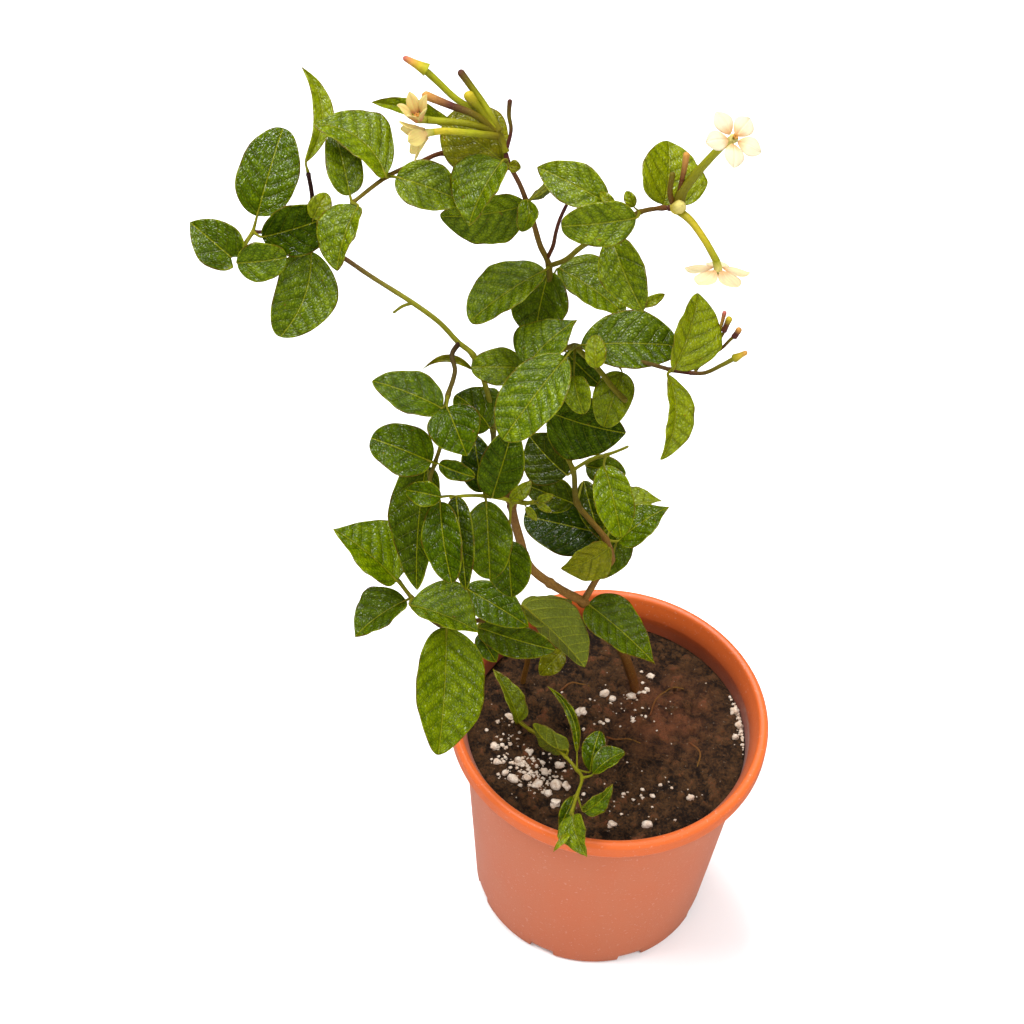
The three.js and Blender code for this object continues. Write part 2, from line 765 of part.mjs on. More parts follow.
        way: [
          [518, 722, 2], [530, 730, -8], [545, 740, -22], [566, 757, -42], [577, 770, -52], [582, 778, -62],
          [577, 795, -78], [571, 813, -92],
        ],
        from: 1.3,
        to: 1,
        foot: true,
      },
    ],
    leaves: [
      {
        name: "da", at: [530, 730, -8], root: [519, 722], tip: [493, 669], width: 20.1, near: 4, turn: 34,
        fold: 40, fullness: 0.55, point: 0.9, skew: -0.05,
      },
      {
        name: "db", at: [566, 757, -42], root: [568, 750], tip: [533, 724], width: 17.9, near: 3, lean: 6,
        turn: 142, arch: 6, bend: 9.5, point: 0.6, skew: -0.08,
      },
      {
        name: "dc", at: [577, 770, -52], root: [577, 752], tip: [547, 686], width: 7.6, near: 2, lean: 8,
        turn: -4, fold: 35, bend: 6.5, point: 0.9, skew: 0.05,
      },
      {
        name: "de", at: [577, 770, -52], root: [590, 772], tip: [600, 731], width: 16.1, near: 4, turn: -18,
        fullness: 1.2, point: 0.5, skew: 0.04,
      },
      {
        name: "df", at: [582, 778, -62], root: [592, 775], tip: [625, 752], width: 19.4, near: 2, turn: -36,
        fold: 30, fullness: 1.3, point: 0.6, skew: 0.04,
      },
      {
        name: "dg", at: [577, 795, -78], root: [574, 796], tip: [559, 828], width: 9.9, near: 1, turn: -4,
        fold: 30, point: 0.8, skew: 0.09,
      },
      {
        name: "di", at: [577, 795, -78], root: [584, 812], tip: [613, 784], width: 14.6, near: 4, turn: 38,
        fullness: 0.6, point: 0.9,
      },
      {
        name: "dj", at: [571, 813, -92], root: [573, 815], tip: [587, 857], width: 22.3, near: 4, lean: -6,
        turn: 38, fullness: 0.6, point: 1.1, skew: 0.09,
      },
      {
        name: "dk", at: [571, 813, -92], root: [570, 832], tip: [553, 852], width: 4.6, near: 4, lean: -6,
        turn: 16, point: 1, skew: -0.31,
      },
    ],
  },
];

// Flower clusters: a short stalk, and the long calyx tubes and buds that fan from it

const CLUSTERS = [
  {
    name: "flower_cluster_left",
    finish: "tube",
    carriers: [CROWN_STEM],
    tubes: [
      { way: [[506, 152, 52], [503, 143, 54], [494, 128, 56]], from: 2, to: 2.4 },
      {
        way: [[500, 137, 55], [480, 115, 60], [455, 98, 64], [438, 82, 66], [425, 70, 67]],
        from: 2,
        to: 1.8,
      },
      { way: [[427, 70, 67], [416, 64, 68], [403, 57, 69]], from: 3.6, to: 1.4 },
      { way: [[499, 131, 56], [485, 106, 61], [470, 85, 65], [459, 70, 67]], from: 2.2, to: 2 },
      { way: [[496, 132, 55], [478, 108, 58], [466, 92, 60]], from: 1.6, to: 3.2 },
      { way: [[497, 133, 55], [475, 115, 53], [452, 106, 53], [422, 94, 54]], from: 1.6, to: 2.3 },
      { way: [[506, 152, 52], [511, 130, 56], [509, 115, 58], [510, 99, 60]], from: 1, to: 1.3 },
      {
        way: [[497, 131, 56], [470, 124, 50], [440, 121, 47], [427, 120, 46]],
        from: 2.2,
        to: 1.9,
        flower: {
          name: "flower_left_upper", centre: [418, 119, 46], aim: [412, 99, 43], length: 7, width: 6.5,
          spin: 10, cup: 1.8,
        },
      },
      {
        way: [[497, 136, 54], [470, 133, 46], [445, 131, 43], [434, 132, 42]],
        from: 2.2,
        to: 1.9,
        flower: {
          name: "flower_left_lower", centre: [427, 133, 41], aim: [412, 139, 38], length: 10, width: 8.5,
          spin: 40, cup: 1.2,
        },
      },
    ],
  },
  {
    name: "flower_cluster_right",
    finish: "tube",
    carriers: [{
      way: [[640, 212, 21], [662, 208, 14], [669, 208, 12]], from: 1.3, to: 1.2,
    }],
    tubes: [
      { way: [[669, 208, 12], [675, 208, 10], [682, 208, 8]], from: 1.7, to: 2.3 },
      {
        way: [[678, 206, 9], [682, 192, 10], [696, 174, 10], [713, 155, 10], [722, 146, 10]],
        from: 3,
        to: 1.9,
        flower: {
          name: "flower_right_upper", centre: [733, 139, 9], aim: [745, 127, 4.1], length: 15.5,
          width: 10.5, spin: 20, cup: 0.12,
        },
      },
      { way: [[676, 205, 9], [680, 188, 10], [684, 170, 12], [687, 152, 14]], from: 1, to: 1.8 },
      { way: [[674, 207, 9], [670, 192, 9], [673, 172, 11]], from: 1.6, to: 1.6 },
      {
        way: [[676, 209, 8], [690, 220, 1], [704, 239, -4], [716, 260, -7]],
        from: 2.3,
        to: 2,
        flower: {
          name: "flower_right_lower", centre: [718, 269, -9], aim: [716, 289, -12.6], length: 17,
          width: 11.5, spin: 59, cup: 0.25,
        },
      },
      { way: [[676, 208, 8], [682, 206, 3]], from: 3.4, to: 4.2 },
    ],
  },
  {
    name: "bud_cluster_right",
    finish: "tube",
    carriers: [{
      way: [[650, 364, 6], [672, 370, -2], [690, 373, -8]], from: 1.2, to: 1.1,
    }],
    tubes: [
      { way: [[690, 373, -8], [704, 373, -12], [722, 365, -17], [737, 357, -20]], from: 1.2, to: 1.3 },
      { way: [[735, 358, -19.6], [741, 355, -21], [747, 352, -22]], from: 2.4, to: 1.3 },
      {
        way: [
          [694, 373, -9], [703, 362, 5], [713, 354, 9], [722, 348, 11], [731, 339, 12], [735, 336, 12.5],
        ],
        from: 0.9,
        to: 1,
      },
      { way: [[703, 362, 5], [713, 350, 9], [720, 339, 12], [725, 330, 13]], from: 0.8, to: 0.9 },
      { way: [[734, 337, 12.4], [737, 333, 12.8], [740, 328, 13]], from: 1.8, to: 2 },
      { way: [[724, 331, 13], [727, 324, 13.6], [730, 317, 14]], from: 1.6, to: 2.1 },
      { way: [[713, 350, 9], [719, 333, 15], [725, 311, 17]], from: 0.8, to: 1.3 },
    ],
  },
];

const PETAL_COUNT = 5;
const THROAT_RADIUS = 2.4;
const THROAT_FRONT = 0.8;

// An open flower at the end of its tube: a throat from the tube's mouth to the flower's centre, and petals
// that spread square to the line from the centre to the pick `aim`
function openFlower(tube) {
  const { flower } = tube;
  const centre = pick(flower.centre);
  const ahead = pick(flower.aim).sub(centre).normalize();
  const start = new THREE.Vector3(0, 0, 1).cross(ahead).normalize();
  const front = centre.clone().addScaledVector(ahead, THROAT_FRONT);
  const parts = [limb([pick(tube.way.at(-1)), centre, front], tube.to, THROAT_RADIUS, STEM_SIDES, 1)];
  for (let petal = 0; petal < PETAL_COUNT; petal += 1) {
    const angle = THREE.MathUtils.degToRad(flower.spin + (360 * petal) / PETAL_COUNT);
    const outward = start.clone().applyAxisAngle(ahead, angle);
    const joint = centre.clone().addScaledVector(outward, THROAT_RADIUS * 0.75);
    const root = centre.clone().addScaledVector(outward, THROAT_RADIUS * 1.1);
    const tip = centre.clone()
      .addScaledVector(outward, flower.length)
      .addScaledVector(ahead, flower.length * flower.cup);
    parts.push(blade(joint, root, tip, ahead, {
      width: flower.width, fold: -8, arch: 1, wave: 0.4, fullness: 1.15, point: 0.72,
    }));
  }
  return clearOf(joined(parts), [tube]);
}

// The pot: one moulding with a rolled rim, a bead under its collar, a floor and drain notches at its foot

function potSolid() {
  const collarFoot = POT_HEIGHT - COLLAR_HEIGHT;
  const innerTop = POT_HEIGHT - 2.2;
  const profile = [
    [0, 0], [BASE_RADIUS - 2, 0], [BASE_RADIUS, BASE_EDGE],
    [BODY_TOP_RADIUS, collarFoot - 5], [BODY_TOP_RADIUS + 3, collarFoot - 3.6],
    [BODY_TOP_RADIUS + 3, collarFoot],
    [RIM_RADIUS - 1.8, collarFoot], [RIM_RADIUS, collarFoot + 2], [RIM_RADIUS, POT_HEIGHT - 2.4],
    [RIM_RADIUS - 1.8, POT_HEIGHT - 0.3], [RIM_RADIUS - 3.4, POT_HEIGHT],
    [RIM_INNER_RADIUS + 1, POT_HEIGHT - 0.6],
    [RIM_INNER_RADIUS, innerTop], [BODY_TOP_RADIUS - WALL + 1.4, collarFoot],
    [BASE_RADIUS - WALL, WALL + 0.4], [0, WALL + 0.4],
  ].map(([radius, height]) => new THREE.Vector2(radius, height));
  const shell = new THREE.LatheGeometry(profile, POT_SIDES);
  shell.rotateX(Math.PI / 2);
  let solid = solidOf(shell);
  for (let notch = 0; notch < NOTCH_COUNT; notch += 1) {
    const angle = THREE.MathUtils.degToRad(NOTCH_START_DEGREES + (360 * notch) / NOTCH_COUNT);
    const reach = RIM_RADIUS - NOTCH_INNER_RADIUS;
    const block = new THREE.BoxGeometry(reach, NOTCH_WIDTH, 2 * NOTCH_HEIGHT);
    block.translate(NOTCH_INNER_RADIUS + reach / 2, 0, 0);
    block.rotateZ(angle);
    solid = solid.subtract(solidOf(block));
  }
  return solid;
}

// The soil: a plug that fills the pot, with a lumpy top, grains of perlite and plain holes for the stems

function soilRadius(height) {
  const collarFoot = POT_HEIGHT - COLLAR_HEIGHT;
  const foot = BASE_RADIUS - WALL;
  const top = BODY_TOP_RADIUS - WALL + 1.4;
  return THREE.MathUtils.lerp(foot, top, (height - WALL) / (collarFoot - WALL)) - SOIL_GAP;
}

function soilLump(x, y) {
  const broad = Math.sin(0.071 * x + 1.3) * Math.cos(0.063 * y - 0.4);
  const fine = Math.sin(0.19 * x - 0.16 * y) * Math.cos(0.17 * x + 0.21 * y + 2);
  return SOIL_ROUGHNESS * (0.9 * broad + 0.6 * fine);
}

function soilBody() {
  const bottom = WALL + 1;
  const radius = soilRadius(SOIL_LEVEL);
  const profile = [[0, bottom], [soilRadius(bottom), bottom]];
  for (const share of [1, 0.8, 0.6, 0.4, 0.2, 0]) {
    profile.push([radius * share, SOIL_LEVEL]);
  }
  const plug = new THREE.LatheGeometry(profile.map(([r, z]) => new THREE.Vector2(r, z)), POT_SIDES);
  plug.rotateX(Math.PI / 2);
  const spots = plug.attributes.position;
  for (let index = 0; index < spots.count; index += 1) {
    if (spots.getZ(index) > SOIL_LEVEL - 1) {
      const x = spots.getX(index);
      const y = spots.getY(index);
      const inside = Math.hypot(x, y) < 0.95 * radius;
      spots.setZ(index, SOIL_LEVEL + (inside ? soilLump(x, y) : 0));
    }
  }
  return solidOf(plug);
}

// Perlite grains as [column, row, radius]: where they show and how big they are, in mm
const PERLITE = [
  [603, 695, 3.2], [612, 699, 2.2], [632, 697, 2.8], [581, 713, 3.2], [510, 715, 3.2], [544, 772, 2.6],
  [559, 767, 2.8], [557, 787, 3.4], [566, 788, 2.8], [555, 805, 3.4], [505, 773, 2.8], [513, 779, 2.8],
  [527, 778, 3], [495, 748, 2.8], [650, 677, 2.4], [647, 690, 2.4], [611, 826, 2.6], [647, 826, 3.2],
  [740, 712, 3], [746, 728, 2.8], [736, 738, 2.6], [519, 762, 3.2], [537, 786, 3], [548, 794, 2.8],
  [497, 762, 3], [529, 752, 2.6], [690, 800, 2.4],
];

function soilSolid(feet) {
  let soil = soilBody();
  for (const [column, row, radius] of PERLITE) {
    const line = sightLine(column, row);
    const spot = EYE.clone().addScaledVector(line, (SOIL_LEVEL + 0.5 - EYE.z) / line.z).setZ(0);
    spot.clampLength(0, soilRadius(SOIL_LEVEL) - radius - 1);
    const grain = new THREE.OctahedronGeometry(radius);
    grain.rotateZ(column);
    grain.rotateX(row);
    grain.scale(1, 1, 0.8);
    grain.translate(spot.x, spot.y, SOIL_LEVEL + soilLump(spot.x, spot.y));
    soil = soil.add(solidOf(grain));
  }
  for (const foot of feet) {
    soil = soil.subtract(stemFoot(foot, HOLE_CLEARANCE));
  }
  return largestBody(soil);
}

// The buried end of a stem, straight down from its lowest pick
function stemFoot(stem, growth = 0) {
  const surface = pick(stem.way[0]);
  const radius = stem.from + growth;
  const above = new THREE.Vector3(surface.x, surface.y, surface.z + 2 + growth * 8);
  const below = new THREE.Vector3(surface.x, surface.y, SOIL_LEVEL - FOOT_DEPTH - growth);
  return limb([above, below], radius, radius, stem.sides ?? STEM_SIDES, 1);
}

function shootSolid(shoot) {
  const parts = shoot.stems.map((stem) => stemSolid(stem));
  parts.push(...shoot.stems.filter((stem) => stem.foot).map((stem) => stemFoot(stem)));
  parts.push(...shoot.leaves.map(leafOnStalk));
  return clearOf(joined(parts), shoot.carriers);
}

function clearOf(solid, carriers) {
  const cut = carriers.reduce((whole, carrier) => whole.subtract(stemSolid(carrier, JOIN_GAP)), solid);
  return carriers.length > 0 ? largestBody(cut) : cut;
}

// Assembly

const group = new THREE.Group();

function addPiece(name, solid, finish) {
  const mesh = new THREE.Mesh(geometryOf(solid), new THREE.MeshStandardMaterial(FINISH[finish]));
  mesh.name = name;
  group.add(mesh);
}

const footed = [WOODY_STEM, ...SHOOTS.flatMap((shoot) => shoot.stems.filter((stem) => stem.foot))];
addPiece("pot", potSolid(), "pot");
addPiece("soil", soilSolid(footed), "soil");
addPiece("woody_stem", stemSolid(WOODY_STEM).add(stemFoot(WOODY_STEM)), "wood");
for (const shoot of SHOOTS) {
  addPiece(shoot.name, shootSolid(shoot), shoot.finish);
}
for (const cluster of CLUSTERS) {
  const tubes = joined(cluster.tubes.map((tube) => stemSolid(tube)));
  addPiece(cluster.name, clearOf(tubes, cluster.carriers), cluster.finish);
}
for (const tube of CLUSTERS.flatMap((cluster) => cluster.tubes).filter((candidate) => candidate.flower)) {
  addPiece(tube.flower.name, openFlower(tube), "petal");
}

export default group;
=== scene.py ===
"""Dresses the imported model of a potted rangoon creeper, a young climbing plant in an orange nursery pot.

The tables are in millimetres, +Z up, with the plant seen from the -Y side. Meshes are written in metres.
"""

import itertools
import logging
import math
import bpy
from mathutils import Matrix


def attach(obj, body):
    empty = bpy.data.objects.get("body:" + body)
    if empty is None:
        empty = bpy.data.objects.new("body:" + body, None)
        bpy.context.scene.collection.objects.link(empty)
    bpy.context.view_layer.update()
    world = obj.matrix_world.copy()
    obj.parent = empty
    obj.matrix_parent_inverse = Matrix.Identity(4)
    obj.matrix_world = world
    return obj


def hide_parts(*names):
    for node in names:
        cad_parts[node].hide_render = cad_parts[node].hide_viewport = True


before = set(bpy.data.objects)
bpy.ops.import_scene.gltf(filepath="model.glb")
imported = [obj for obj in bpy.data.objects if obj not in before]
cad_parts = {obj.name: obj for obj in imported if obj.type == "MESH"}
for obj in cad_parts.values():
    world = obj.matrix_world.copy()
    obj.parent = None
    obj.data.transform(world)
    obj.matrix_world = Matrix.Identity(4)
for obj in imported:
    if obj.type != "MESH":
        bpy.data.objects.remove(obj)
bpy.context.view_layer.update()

import zlib
from dataclasses import dataclass, field
from enum import Enum

import bpy
import numpy as np
from mathutils import Matrix

LOG = logging.getLogger("creeper")
MM = 0.001
LIGHT = 1.5
NOISE_TABLE = 32

Array = np.ndarray
Triple = tuple[float, float, float]
Pixel = tuple[float, float]
Socket = bpy.types.NodeSocket


def tint(red: float, green: float, blue: float) -> Triple:
    """The linear colour of a surface that shows at these 0 to 255 values under the studio's light."""
    shares = np.array([red, green, blue]) / 255
    linear = np.where(shares <= 0.04045, shares / 12.92, ((shares + 0.055) / 1.055) ** 2.4)
    return tuple(float(value) for value in linear / LIGHT)


# Sight lines, curves and closed surfaces


def unit(vectors: Array) -> Array:
    """The vectors, each divided by its length."""
    return vectors / np.linalg.norm(vectors, axis=-1, keepdims=True)


def turned(vector: Array, axis: Array, degrees: float) -> Array:
    """The vector turned about a unit axis: v cos a + (k x v) sin a + k (k . v)(1 - cos a)."""
    angle = math.radians(degrees)
    along = axis * np.dot(axis, vector) * (1 - math.cos(angle))
    return vector * math.cos(angle) + np.cross(axis, vector) * math.sin(angle) + along


def ease(values: Array, low: float, high: float) -> Array:
    """A smooth step from 0 at low to 1 at high: 3t^2 - 2t^3."""
    share = np.clip((values - low) / (high - low), 0, 1)
    return share * share * (3 - 2 * share)


@dataclass(frozen=True)
class Sight:
    """The spot that the plant is laid out and pictured from."""

    eye: Triple = (-71.8, -835.8, 1324.4)
    pitch_degrees: float = 48.83
    roll_degrees: float = 4.22
    focal: float = 2200.0
    frame_side: float = 1024.0

    def axes(self) -> Array:
        """The unit directions to the right, up and ahead, as rows."""
        pitch = math.radians(self.pitch_degrees)
        roll = math.radians(self.roll_degrees)
        level_up = np.array([0, math.sin(pitch), math.cos(pitch)])
        level_right = np.array([1.0, 0, 0])
        right = level_right * math.cos(roll) + level_up * math.sin(roll)
        up = level_up * math.cos(roll) - level_right * math.sin(roll)
        return np.array([right, up, [0, math.cos(pitch), -math.sin(pitch)]])

    def line(self, pixel: Pixel) -> Array:
        """The sight line through a pixel, one millimetre deep."""
        middle = self.frame_side / 2
        right, up, ahead = self.axes()
        return ahead + right * (pixel[0] - middle) / self.focal + up * (middle - pixel[1]) / self.focal

    def pick(self, spot: Triple) -> Array:
        """The point that shows at (column, row) and lies `back` mm behind the pot's axis."""
        line = self.line(spot[:2])
        return np.array(self.eye) + line * (spot[2] - self.eye[1]) / line[1]

    def way(self, spots: tuple[Triple, ...]) -> Array:
        """The picks of several spots, as rows."""
        return np.array([self.pick(spot) for spot in spots])

    def depth(self, point: Array) -> float:
        """How deep in the view a point lies."""
        return float(np.dot(point - np.array(self.eye), self.axes()[2]))

    def at_depth(self, pixel: Pixel, depth: float) -> Array:
        """The point that shows at a pixel at that depth."""
        return np.array(self.eye) + self.line(pixel) * depth

    def at_height(self, pixel: Pixel, height: float) -> Array:
        """The point that shows at a pixel at that height above the floor."""
        line = self.line(pixel)
        return np.array(self.eye) + line * (height - self.eye[2]) / line[2]


SIGHT = Sight()


@dataclass
class Surface:
    """One or more closed surfaces, in millimetres.

    `paint` holds three numbers for each point under each name, and `slots` a material number for each face,
    the quads first.
    """

    points: Array
    quads: Array
    fans: Array
    paint: dict[str, Array] = field(default_factory=dict)
    slots: Array | None = None

    def face_slots(self) -> Array:
        """The material number of each face."""
        count = len(self.quads) + len(self.fans)
        return np.zeros(count, int) if self.slots is None else self.slots

    def outward(self) -> "Surface":
        """The surface with its faces turned outwards, by the sign of the volume that they hold."""
        a, b, c, d = (self.points[self.quads[:, i]] for i in range(4))
        halves = np.cross(b, c) + np.cross(c, d)
        volume = np.einsum("ij,ij->i", a, halves).sum()
        a, b, c = (self.points[self.fans[:, i]] for i in range(3))
        volume += np.einsum("ij,ij->i", a, np.cross(b, c)).sum()
        if volume < 0:
            self.quads = self.quads[:, ::-1]
            self.fans = self.fans[:, ::-1]
        return self

    def painted(self, **paint: Array | Triple) -> "Surface":
        """The surface with three numbers at each point, or one triple for them all, under each name."""
        for name, values in paint.items():
            self.paint[name] = np.broadcast_to(np.asarray(values, float), self.points.shape).copy()
        return self


def combined(surfaces: list[Surface]) -> Surface:
    """Several surfaces as one, with their shared names of paint kept."""
    starts = np.cumsum([0] + [len(s.points) for s in surfaces[:-1]])
    quads = np.concatenate([s.quads + start for s, start in zip(surfaces, starts)])
    fans = np.concatenate([s.fans + start for s, start in zip(surfaces, starts)])
    names = [name for name in surfaces[0].paint if all(name in s.paint for s in surfaces)]
    quad_slots = [s.face_slots()[: len(s.quads)] for s in surfaces]
    fan_slots = [s.face_slots()[len(s.quads) :] for s in surfaces]
    return Surface(
        np.concatenate([s.points for s in surfaces]),
        quads,
        fans,
        {name: np.concatenate([s.paint[name] for s in surfaces]) for name in names},
        np.concatenate(quad_slots + fan_slots),
    )


def loft(rings: Array, start: Array, end: Array, ring_slots: Array | None = None) -> Surface:
    """A closed surface through rings of points, drawn to a point at each end.

    Args:
        rings: Points by ring, then by place round it.
        start: The point that closes the first ring.
        end: The point that closes the last ring.
        ring_slots: The material number at each place round a ring.

    Returns:
        The surface, with its faces outwards.
    """
    rows, columns = rings.shape[:2]
    index = np.arange(rows * columns).reshape(rows, columns)
    beside = np.roll(index, -1, axis=1)
    quads = np.stack([index[:-1], beside[:-1], beside[1:], index[1:]], axis=-1).reshape(-1, 4)
    first = np.full(columns, rows * columns)
    fans = np.concatenate(
        [np.stack([first, beside[0], index[0]], -1), np.stack([first + 1, index[-1], beside[-1]], -1)]
    )
    slots = None if ring_slots is None else np.tile(ring_slots, rows + 1)
    return Surface(np.vstack([rings.reshape(-1, 3), start, end]), quads, fans, slots=slots).outward()


def smooth_way(knots: Array, spacing: float) -> Array:
    """Points along a centripetal Catmull-Rom curve through the knots.

    Each stretch blends its four knots by Barry and Goldman's pyramid, with a knot interval of the square
    root of the distance.

    Args:
        knots: The points that the curve passes through.
        spacing: About how far apart the points are, in mm.

    Returns:
        The points, the last knot included.
    """
    ends = np.vstack([2 * knots[0] - knots[1], knots, 2 * knots[-1] - knots[-2]])
    stretches = []
    for p0, p1, p2, p3 in zip(ends[:-3], ends[1:-2], ends[2:-1], ends[3:]):
        gaps = [np.linalg.norm(b - a) ** 0.5 for a, b in ((p0, p1), (p1, p2), (p2, p3))]
        t0, t1, t2, t3 = np.concatenate([[0], np.cumsum(gaps)])
        count = max(2, round(float(np.linalg.norm(p2 - p1)) / spacing))
        u = np.linspace(t1, t2, count, endpoint=False)[:, None]
        a1 = ((t1 - u) * p0 + (u - t0) * p1) / (t1 - t0)
        a2 = ((t2 - u) * p1 + (u - t1) * p2) / (t2 - t1)
        a3 = ((t3 - u) * p2 + (u - t2) * p3) / (t3 - t2)
        b1 = ((t2 - u) * a1 + (u - t0) * a2) / (t2 - t0)
        b2 = ((t3 - u) * a2 + (u - t1) * a3) / (t3 - t1)
        stretches.append(((t2 - u) * b1 + (u - t1) * b2) / (t2 - t1))
    return np.vstack([*stretches, knots[-1]])


def distance_along(path: Array) -> Array:
    """How far along a path each of its points is."""
    return np.concatenate([[0], np.cumsum(np.linalg.norm(np.diff(path, axis=0), axis=1))])


def tube(path: Array, radii: Array, sides: int, ridges: float = 0.0, rounded: bool = True) -> Surface:
    """A round limb along a path: path + r (n cos a + m sin a), with n and m square to the path.

    Args:
        path: The middle line.
        radii: The radius at each point of it.
        sides: Points round the limb.
        ridges: How deep its fine lengthwise ridges are, as a share of the radius.
        rounded: Whether the last stretch, of one radius, closes as half a ball: r sqrt(1 - t^2).

    Returns:
        The closed limb.
    """
    tangents = unit(np.gradient(path, axis=0))
    guide = np.linalg.svd(tangents)[2][-1]
    normals = unit(np.cross(tangents, guide))
    others = np.cross(tangents, normals)
    if rounded:
        left = (distance_along(path)[-1] - distance_along(path)) / max(radii[-1], 0.1)
        inner = np.clip(1 - left, 0, 0.985)
        radii = radii * np.sqrt(1 - inner**2)
    angles = np.linspace(0, 2 * math.pi, sides, endpoint=False)
    ridge = 1 + ridges * np.sin(5 * angles + 0.8) * np.cos(3 * angles)
    spread = normals[:, None] * np.cos(angles)[:, None] + others[:, None] * np.sin(angles)[:, None]
    rings = path[:, None] + spread * (radii[:, None] * ridge)[:, :, None]
    return loft(rings, path[0], path[-1])


def ball(centre: Array, sizes: Array, seed: int, roughness: float, rings: int = 6, sides: int = 9) -> Surface:
    """A lumpy grain: a unit ball with its radius times 1 + 2 roughness sin(k . p), stretched by `sizes`.

    Args:
        centre: Its middle.
        sizes: Its three half widths.
        seed: What its lumps and its turn are drawn from.
        roughness: How deep its lumps are, as a share of the radius; four waves k are averaged.
        rings: Rings from pole to pole.
        sides: Points round a ring.

    Returns:
        The closed grain.
    """
    draw = np.random.default_rng(seed)
    polar = np.linspace(0, math.pi, rings + 2)[1:-1, None]
    angles = np.linspace(0, 2 * math.pi, sides, endpoint=False)[None]
    shell = np.stack(
        [np.sin(polar) * np.cos(angles), np.sin(polar) * np.sin(angles), np.cos(polar) + 0 * angles], axis=-1
    )
    made = loft(shell, np.array([0, 0, 1.0]), np.array([0, 0, -1.0]))
    waves = draw.normal(0, 2.2, (4, 3))
    lumps = np.sin(made.points @ waves.T + draw.uniform(0, 6, 4)).mean(axis=1)
    spin, _ = np.linalg.qr(draw.normal(size=(3, 3)))
    made.points = (made.points * (1 + 2 * roughness * lumps)[:, None]) @ spin.T * sizes + centre
    return made.outward()


def lattice_noise(points: Array, size: float, seed: int) -> Array:
    """Smooth noise from -1 to 1: random values at the corners of cubes, blended by 3t^2 - 2t^3.

    Args:
        points: Where it is wanted.
        size: The side of a cube, in mm.
        seed: What the values are drawn from.

    Returns:
        One value for each point.
    """
    table = np.random.default_rng(seed).random((NOISE_TABLE,) * 3)
    cell = np.floor(points / size).astype(int)
    share = points / size - cell
    share = ease(share, 0, 1)
    total = np.zeros(len(points))
    for corner in itertools.product((0, 1), repeat=3):
        weight = np.prod(np.where(corner, share, 1 - share), axis=1)
        i, j, k = ((cell + corner) % NOISE_TABLE).T
        total += weight * table[i, j, k]
    return 2 * total - 1


def rough_noise(points: Array, size: float, seed: int, octaves: int = 3) -> Array:
    """Layers of lattice noise, each half as large and half as strong as the one before."""
    layers = [lattice_noise(points, size / 2**n, seed + n) / 2**n for n in range(octaves)]
    return np.sum(layers, axis=0)


def place(surface: Surface, name: str, finishes: list[bpy.types.Material], slot: str, *nodes: str) -> None:
    """Puts a surface into the scene as a piece that rides on the part's one body.

    Args:
        surface: What the piece is made of, in millimetres.
        name: The piece's name.
        finishes: Its materials, by number.
        slot: Not used.
        *nodes: The CAD nodes that it stands for.
    """
    mesh = bpy.data.meshes.new(name)
    mesh.from_pydata((surface.points * MM).tolist(), [], surface.quads.tolist() + surface.fans.tolist())
    for material in finishes:
        mesh.materials.append(material)
    mesh.polygons.foreach_set("material_index", surface.face_slots().astype(np.int32))
    mesh.polygons.foreach_set("use_smooth", np.ones(len(mesh.polygons), bool))
    for label, values in surface.paint.items():
        layer = mesh.attributes.new(label, "FLOAT_VECTOR", "POINT")
        layer.data.foreach_set("vector", values.astype(np.float32).ravel())
    mesh.update()
    piece = bpy.data.objects.new(name, mesh)
    bpy.context.scene.collection.objects.link(piece)
    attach(piece, "root")
    if nodes:
        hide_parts(*nodes)
    LOG.info("%s: %d points, %d faces", name, len(mesh.vertices), len(mesh.polygons))


# Finishes


